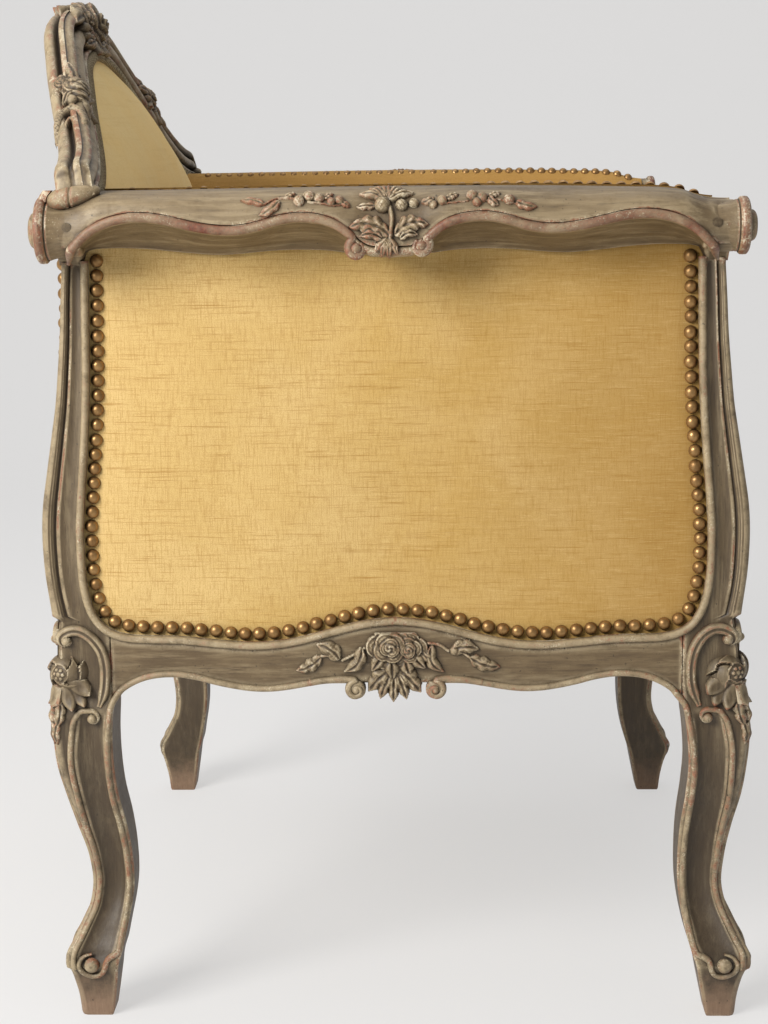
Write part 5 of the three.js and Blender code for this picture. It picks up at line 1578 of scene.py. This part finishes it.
def seat_deck():
    half = 268
    across, along = np.meshgrid(np.linspace(-half, half, 70),
                                np.r_[-276, -275.4, -273, -268, np.linspace(-262, 218, 60)])
    edge = np.minimum(half - np.abs(across), 60)
    roll = np.sqrt(np.clip(1 - np.clip((-along - 258) / 18, 0, 1) ** 2, 0, 1))
    top = 369 + (16 + 7 * smooth_step(edge, 0, 60)) * roll
    under = np.where(along < -240, 368.4, 355.5)
    return closed_patch(np.stack([across, along, top], -1), np.stack([across, along, under], -1))


CLOTH_FOOT = 372.0          # lower edge of the hessians


def stretched_cloth(across, up, place, thick, slack):
    """A thin closed sheet over a grid: place gives its points at a depth, slack the height of its ripples."""
    u, v = np.meshgrid(across, up)
    ripple = slack * np.sin(u / 17 + 1.3 * np.sin(v / 41)) * np.sin(v / 23 + 0.8)
    return closed_patch(place(u, v, ripple), place(u, v, ripple + thick))


def arm_hessian(side):
    def place(y, z, depth):
        return np.stack([side * (280.35 + depth), y, z], -1)
    return stretched_cloth(np.linspace(-255, 220, 80), np.linspace(CLOTH_FOOT, 684, 56), place, 1.0, 0.12)


def back_hessian():
    def place(x, share, depth):
        top = np.minimum(arch_height(x) - 2, 816)
        height = CLOTH_FOOT + (top - CLOTH_FOOT) * share
        return np.stack([x, back_face(x, height) + 9.3 + depth, height], -1)
    return stretched_cloth(np.linspace(-275, 275, 100), np.linspace(0, 1, 70), place, 1.2, 0.1)


WEB_WIDTH = 52.0
WEB_THICK = 1.0
WEB_STEP = {True: 150.0, False: 135.0}     # between bands running from front to back, between crossing ones


def webbing_strips():
    """Crossed bands under the deck, each passing over and under the others."""
    low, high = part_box("seat_webbing")
    reach_x, level = high.x / MM, (low.z + high.z) / 2 / MM
    front, back = low.y / MM - MID_Y / MM, high.y / MM - MID_Y / MM
    strips = []
    for deep in (True, False):
        length = (front, back) if deep else (-reach_x, reach_x)
        middle, start = (0, (front + back) / 2) if deep else ((front + back) / 2, 0)
        step = WEB_STEP[not deep]
        for k in range(3):
            centre = middle + (k - 1) * WEB_STEP[deep]
            along, cross = np.meshgrid(np.linspace(*length, 150),
                                       np.linspace(-WEB_WIDTH / 2, WEB_WIDTH / 2, 12))
            weave = np.cos((along - start) * math.pi / step + math.pi * (k + deep))
            height = level + 0.75 * weave * (np.abs(along - start) < step * 1.5)
            x, y = (centre + cross, along) if deep else (along, centre + cross)
            top = np.stack([x, y, height + WEB_THICK / 2], -1)
            strips.append(closed_patch(top, top - [0, 0, WEB_THICK]))
    return joined(strips)


def nail(centre, normal, size):
    """A domed nail head with a thin rim."""
    normal = unit(np.asarray(normal, float))
    side = unit(np.cross(normal, [0.31, 0.52, 0.8]))
    other = np.cross(normal, side)
    rows = [(1.0, -0.25), (1.0, 0.06), (0.93, 0.3), (0.8, 0.56), (0.6, 0.8), (0.36, 0.95), (0.1, 1.0)]
    turn = full_turn(14)[:, None]
    rim = NAIL_RADIUS * size * (np.cos(turn) * side + np.sin(turn) * other)
    return loft([centre + r * rim + h * NAIL_RISE * size * normal for r, h in rows])


def spaced(path, pitch):
    """Places an equal step apart along a path, the step near the given pitch."""
    path = np.asarray(path, float)
    length = run_length(path)
    at = np.linspace(0, length[-1], int(round(length[-1] / pitch)) + 1)
    return np.stack([np.interp(at, length, path[:, k]) for k in range(path.shape[1])], 1)


def nail_row(points, normals, seed, size=1.0):
    """Nails at the given places, each a little off them and leaning by chance."""
    parts = []
    chance = np.random.default_rng(seed).uniform(-1, 1, (len(points), 2))
    for point, normal, (a, b) in zip(points, normals, chance):
        lean = np.asarray(normal, float) + [0.05 * a, 0.05 * b, 0.05 * (a - b)]
        parts.append(nail(point + np.array([0, 0.35 * a, 0.35 * b]), lean, size * (1 + 0.03 * a)))
    return parts


def side_nails(side):
    """Nails round a side cover, down both posts and along the rail."""
    half = smooth_path(PANEL_EDGE, 2.0)
    along = unit(np.gradient(half, axis=0))
    inward = np.c_[-along[:, 1], along[:, 0]]
    row = half + inward * NAIL_INSET
    row = row[row[:, 1] < 658]
    whole = np.r_[(row * [-1, 1])[:0:-1], row]
    places = spaced(whole, NAIL_PITCH)
    points = np.c_[np.full(len(places), COVER_FACE + 1.0), places]
    return mirrored(nail_row(points, all_facing((1, 0, 0), points), 5), side)


def arm_top_nails(side):
    """Nails along the outer edge of an arm pad, on top of the arm."""
    along = np.arange(-244, 216, NAIL_PITCH * 0.96)
    sunk = np.interp(along, [-244, -110, -40, 216], [-0.4, -0.6, -2.6, -2.8])
    points = np.c_[np.full(len(along), HALF_WIDTH - 40.4), along, follow(ARM_LEVEL, along) + sunk]
    return mirrored(nail_row(points, all_facing((-0.75, 0, 0.66), points), 8, 0.86), side)


def front_nails():
    x = np.linspace(-262, 262, 43)
    z = follow(RAIL_EDGES, np.abs(x) / CROSS_SCALE, 2) + 7
    points = np.c_[x, np.full(len(x), -(HALF_DEPTH - REBATE + 7.5)), z]
    return joined(nail_row(points, all_facing((0, -1, 0), points), 9))


def back_nails(outline):
    """Nails all round the back cover, whose outline runs round its middle."""
    places = spaced(np.r_[outline, outline[:1]], NAIL_PITCH)[:-1]
    along = unit(np.roll(places, -1, 0) - np.roll(places, 1, 0))
    inward = np.c_[-along[:, 1], along[:, 0]]
    turn = np.sign(np.sum(inward * ((0.0, 560.0) - places), 1))[:, None]
    places = places + inward * turn * NAIL_INSET
    points = np.c_[places[:, 0], back_cover_face(places[:, 0], places[:, 1]) + 1.2, places[:, 1]]
    return joined(nail_row(points, all_facing((0, 1, -0.1), points), 10))


def back_braid():
    """Gimp braid along the inner edge of the arch: a band with raised cross ribs."""
    x = np.linspace(-318, 318, 1500)
    spot, out, depth = arch_frame(x)
    length = run_length(spot)
    middle, half, pitch = -3.85, 4.65, 4.2
    across = np.linspace(middle - half, middle + half, 9)
    profile = 1 - np.abs((across - middle) / half) ** 4
    border = 0.5 * np.exp(-((np.abs(across - middle) - 3.9) / 0.8) ** 2)
    ribs = 0.5 + 0.5 * np.cos(length * 2 * math.pi / pitch)
    rings = []
    for k in range(len(x)):
        rise = 4.0 + profile * (1.0 + 2.0 * ribs[k]) + border
        reach = across + 1.2 * (ribs[k] - 0.5) * (across > 0)
        front = spot[k] + reach[:, None] * out[k] - rise[:, None] * depth[k]
        back = spot[k] + across[::-1, None] * out[k] + 1.5 * depth[k]
        rings.append(np.r_[front, back])
    return loft(rings)


# Loose seat cushion

CUSHION_HALF = 242.0        # half its width
CUSHION_DEPTH = 468.0
CUSHION_MIDDLE = -46.0      # its place from front to back
CUSHION_FOOT = 393.0
CUSHION_EDGE = 462.0        # upper seam
PIPING_RADIUS = 3.2
CUSHION_CAP = 0.014         # furthest that the filling may push it out, in metres


def cushion_outline(count, inset=0.0):
    """A rounded square, its sides drawn in a little between the corners."""
    turn = full_turn(count)
    c, s = np.cos(turn), np.sin(turn)
    reach = 1 / (np.abs(c) ** 9 + np.abs(s) ** 9) ** (1 / 9)
    draw = 1 - 9 * np.cos(2 * turn) ** 2 / CUSHION_HALF
    return np.c_[c * reach * draw * (CUSHION_HALF - inset),
                 CUSHION_MIDDLE + s * reach * draw * (CUSHION_DEPTH / 2 - inset)]


def cushion_body():
    middle = np.array([0, CUSHION_MIDDLE])
    outline = cushion_outline(96)
    rows = [(0.3, 394.5), (0.6, 394.2), (0.85, 393.8), (0.96, 394.5), (0.985, 400), (0.99, 415), (0.99, 440),
            (0.985, 456), (0.96, 464), (0.85, 470), (0.65, 475.5), (0.42, 478.5), (0.2, 479.5)]
    return loft([np.c_[middle + (outline - middle) * share, np.full(96, height)] for share, height in rows])


def puff(piece):
    """Fills the cushion by a cloth simulation, in which its foot and its upper seam keep near their place."""
    scene = bpy.context.scene
    start = np.array([v.co for v in piece.data.vertices])
    group = piece.vertex_groups.new(name="seams")
    group.add([int(k) for k in np.nonzero(held_by_seams(start))[0]], 1.0, "REPLACE")
    cloth = piece.modifiers.new("fill", "CLOTH")
    cloth.settings.use_pressure = True
    cloth.settings.uniform_pressure_force = 4.0
    cloth.settings.effector_weights.gravity = 0
    cloth.settings.vertex_group_mass = "seams"
    cloth.settings.quality = 6
    for frame_number in range(1, 21):
        scene.frame_set(frame_number)
    result = piece.evaluated_get(bpy.context.evaluated_depsgraph_get())
    end = np.array([v.co for v in result.data.vertices])
    piece.modifiers.clear()
    move = end - start
    length = np.linalg.norm(move, axis=1, keepdims=True)
    end = start + move * np.minimum(1, CUSHION_CAP / np.maximum(length, 1e-9))
    piece.data.vertices.foreach_set("co", end.ravel())
    piece.data.update()
    scene.frame_set(1)


def remeshed(piece, size):
    grid = piece.modifiers.new("grid", "REMESH")
    grid.mode = "VOXEL"
    grid.voxel_size = size
    result = piece.evaluated_get(bpy.context.evaluated_depsgraph_get())
    mesh = bpy.data.meshes.new_from_object(result)
    piece.modifiers.clear()
    piece.data = mesh
    mesh.polygons.foreach_set("use_smooth", [True] * len(mesh.polygons))


def held_by_seams(places):
    """Which points of the cushion lie on its foot or its upper seam."""
    near_top = np.abs(places[:, 2] - CUSHION_EDGE * MM) < 5 * MM
    foot = places[:, 2] < (CUSHION_FOOT + 6) * MM
    middle = CUSHION_MIDDLE * MM + MID_Y
    reach = np.maximum(np.abs(places[:, 0]) / (CUSHION_HALF * MM),
                       np.abs(places[:, 1] - middle) / (CUSHION_DEPTH / 2 * MM))
    return foot | (near_top & (reach > 0.9))


def seat_cushion():
    points, faces = cushion_body()
    piece = make_object("seat_cushion_velvet", points, faces, seat_velvet)
    remeshed(piece, 6 * MM)
    puff(piece)
    piece.data.materials.append(seat_velvet)
    rounded = piece.modifiers.new("rounded", "SUBSURF")
    rounded.levels = rounded.render_levels = 1
    return piece


def cushion_piping(height):
    """A cord round the cushion: rings on its outline, the last joined to the first."""
    outline = cushion_outline(160, 0.5)
    along = unit(np.roll(outline, -1, 0) - np.roll(outline, 1, 0))
    turn = full_turn(10)[:, None]
    count, steps = len(outline), len(turn)
    rings = []
    faces = []
    for k, ((x, y), (ax, ay)) in enumerate(zip(outline, along)):
        out = np.array([ay, -ax, 0.0])
        rings.append([x, y, height] + PIPING_RADIUS * (np.cos(turn) * out + np.sin(turn) * [0, 0, 1.0]))
        this, after = k * steps, (k + 1) % count * steps
        for i in range(steps):
            beside = (i + 1) % steps
            faces.append((this + i, this + beside, after + beside, after + i))
    return np.concatenate(rings), faces


# Assembly

SIDES = (("right", -1), ("left", 1))
ENDS = (("front", -1), ("back", 1))


def place(name, parts, look, slot_name, *nodes):
    """Makes one piece of (points, faces) and says which solids of the frame it replaces."""
    return finish_piece(make_object(name, *parts, look), slot_name, *nodes)


for end_name, end in ENDS:
    for hand, side in SIDES:
        place(f"{end_name}_corner_post_{hand}_carved", corner_post(side, end), paint, "painted_wood",
              f"{end_name}_corner_post_{hand}")
    rail = cross_frame_beads(end) + seat_rail("cross", end)
    place(f"{end_name}_seat_rail_carved", joined(rail), paint_across, "painted_wood", f"{end_name}_seat_rail")

for hand, side in SIDES:
    rail = side_frame_beads() + seat_rail("side", 1)
    place(f"side_seat_rail_{hand}_carved", mirrored(rail, side), paint_deep, "painted_wood",
          f"side_seat_rail_{hand}")
    place(f"arm_rail_{hand}_carved", arm_rail(side), paint_deep, "painted_wood", f"arm_rail_{hand}")
    rubbed = lip_bead() + volute_pair(np.array(VOLUTE_RIM))
    place(f"arm_lip_{hand}", mirrored(rubbed, side), rubbed_paint, "painted_wood")
    carved = arm_relief() + volute_pair(smooth_path(VOLUTE_BACK, 0.9)) + arm_scroll()
    place(f"arm_carving_{hand}", mirrored(carved, side), worn_paint, "painted_wood")
    stile = [back_frame(side * CREST_HALF, side * ARCH_END), stile_post(side)]
    place(f"back_stile_{hand}_carved", joined(stile), paint, "painted_wood", f"back_stile_{hand}")
    place(f"shoulder_carving_{hand}", shoulder_relief(side), dark_paint, "painted_wood")
    cover = place(f"side_cover_{hand}_velvet", side_cover(side), outer_velvet, "outer_velvet",
                  f"side_cover_{hand}")
    place(f"side_nails_{hand}", side_nails(side), bronze, "nails")
    pad = place(f"arm_pad_{hand}_velvet", arm_pad(side), arm_velvet, "inner_velvet", f"arm_pad_{hand}")
    place(f"arm_nails_{hand}", arm_top_nails(side), bronze, "nails")

place("crest_rail_carved", back_frame(-CREST_HALF, CREST_HALF), paint_across, "painted_wood", "crest_rail")
place("crest_carving", crest_relief(), dark_paint, "painted_wood")
place("back_braid", back_braid(), braid, "gimp")
place("back_pad_velvet", back_pad(), inner_velvet, "inner_velvet", "back_pad")
cover_line = back_cover_outline()
place("back_cover_velvet", back_cover(cover_line), outer_velvet, "outer_velvet", "back_cover")
place("back_nails", back_nails(cover_line), bronze, "nails")
place("front_border_velvet", front_border(), outer_velvet, "outer_velvet", "front_border")
place("front_nails", front_nails(), bronze, "nails")
place("seat_deck_velvet", seat_deck(), inner_velvet, "inner_velvet", "seat_deck")
finish_piece(seat_cushion(), "outer_velvet", "seat_cushion")
for level_name, level in (("upper", CUSHION_EDGE), ("lower", CUSHION_FOOT + 8)):
    place(f"cushion_piping_{level_name}", cushion_piping(level), seat_velvet, "outer_velvet")

for hand, side in SIDES:
    cloth = place(f"arm_hessian_{hand}_cloth", arm_hessian(side), sacking, "hessian", f"arm_hessian_{hand}")
cloth = place("back_hessian_cloth", back_hessian(), sacking, "hessian", "back_hessian")
cloth = place("seat_webbing_bands", webbing_strips(), jute, "webbing", "seat_webbing")

# The solids of the frame that no piece replaces: the pegs and the wood inside
for node in bpy.data.objects:
    if node.type == "MESH" and not node.hide_render and node.get("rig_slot") is None:
        for spot in node.material_slots:
            spot.material = dark_paint if "peg" in node.name else raw_wood


# Camera, floor and light

PHOTO_FOCUS = 2000.0        # focal length in pixels of the 768 x 1024 frame
PHOTO_HEIGHT = 1024.0
SENSOR = 36.0
EYE = (-1.9288, -0.034, 0.7512)
PITCH, YAW, ROLL = (math.radians(a) for a in (10.81, 1.51, -0.55))


def photo_camera():
    ahead = Vector((math.cos(YAW), math.sin(YAW), 0))
    right = Vector((math.sin(YAW), -math.cos(YAW), 0))
    up = Vector((0, 0, 1))
    view = math.cos(PITCH) * ahead - math.sin(PITCH) * up
    upward = math.sin(PITCH) * ahead + math.cos(PITCH) * up
    across = math.cos(ROLL) * right + math.sin(ROLL) * upward
    upward = -math.sin(ROLL) * right + math.cos(ROLL) * upward
    data = bpy.data.cameras.new("photo_view")
    data.sensor_width = SENSOR
    data.lens = PHOTO_FOCUS * SENSOR / PHOTO_HEIGHT
    camera = bpy.data.objects.new("photo_view", data)
    bpy.context.scene.collection.objects.link(camera)
    camera.matrix_world = Matrix.Translation((EYE[0], EYE[1] + MID_Y, EYE[2])) @ Matrix(
        (across, upward, -view)).transposed().to_4x4()
    bpy.context.scene.camera = camera


def chosen_shader(nodes, share, first, second):
    """Mixes two shaders by a share, as strongly as it says the second."""
    mixed = nodes.new("ShaderNodeMixShader")
    for socket, source in zip(mixed.inputs, (share, first, second)):
        mixed.id_data.links.new(source, socket)
    return mixed.outputs[0]


def stage_look(shade, own_light):
    """Pale studio ground, of which the camera and gloss see a part at a level of its own."""
    n = Nodes("studio_ground", 0.9)
    n.feed(n.shader, Base_Color=shade, Specular_IOR_Level=0.1)
    glow = n.feed(n.add("ShaderNodeEmission"), Color=shade)
    ray = n.add("ShaderNodeLightPath").outputs
    share = n.times(n.reckon("MAXIMUM", ray["Is Camera Ray"], ray["Is Glossy Ray"]), own_light)
    chosen = chosen_shader(n.tree.nodes, share, n.shader.outputs[0], glow.outputs[0])
    n.give(n.tree.nodes["Material Output"].inputs["Surface"], chosen)
    return n.material


def studio_floor():
    """A floor that bends up into the backdrop, in metres."""
    far, bend_start, bend = 9.0, 2.2, 1.6
    profile = [(-far, 0.0)]
    profile += [(bend_start + bend * math.sin(t), bend * (1 - math.cos(t)))
                for t in np.linspace(0, math.pi / 2, 16)]
    profile.append((bend_start + bend, far))
    points = [(x, y, z) for x, z in profile for y in (-far, far)]
    faces = [(2 * k, 2 * k + 2, 2 * k + 3, 2 * k + 1) for k in range(len(profile) - 1)]
    mesh = bpy.data.meshes.new("studio_floor")
    mesh.from_pydata(points, [], faces)
    mesh.polygons.foreach_set("use_smooth", [True] * len(faces))
    mesh.materials.append(stage_look(linear(233, 232, 231), 0.68))
    floor = bpy.data.objects.new("studio_floor", mesh)
    bpy.context.scene.collection.objects.link(floor)


def lamp(name, place, aim, size, power, tint=(1, 1, 1)):
    """A square lamp, in metres and watts."""
    data = bpy.data.lights.new(name, "AREA")
    data.size = size
    data.energy = power
    data.color = tint
    light = bpy.data.objects.new(name, data)
    light.location = place
    light.rotation_euler = (Vector(aim) - Vector(place)).to_track_quat("-Z", "Y").to_euler()
    bpy.context.scene.collection.objects.link(light)


photo_camera()
studio_floor()
lamp("window_light", (-1.7, 1.5, 1.6), (-0.3, 0.1, 0.5), 1.2, 78, (1, 0.985, 0.96))
lamp("fill_light", (-2.6, -2.2, 1.5), (0, 0, 0.4), 2.4, 3)
lamp("top_light", (0.4, 0.2, 3.2), (0, 0, 0.3), 2.6, 27)


def studio_world():
    """Even light all round, which the camera sees as a plain grey of its own."""
    world = bpy.data.worlds.new("studio")
    world.use_nodes = True
    nodes = world.node_tree.nodes
    ambient = nodes["Background"]
    ambient.inputs["Color"].default_value = linear(240, 241, 244)
    ambient.inputs["Strength"].default_value = 0.33
    seen = nodes.new("ShaderNodeBackground")
    seen.inputs["Color"].default_value = linear(224, 223, 222)
    ray = nodes.new("ShaderNodeLightPath").outputs["Is Camera Ray"]
    chosen = chosen_shader(nodes, ray, ambient.outputs[0], seen.outputs[0])
    world.node_tree.links.new(chosen, nodes["World Output"].inputs["Surface"])
    bpy.context.scene.world = world


studio_world()
bpy.context.scene.view_settings.view_transform = "Standard"
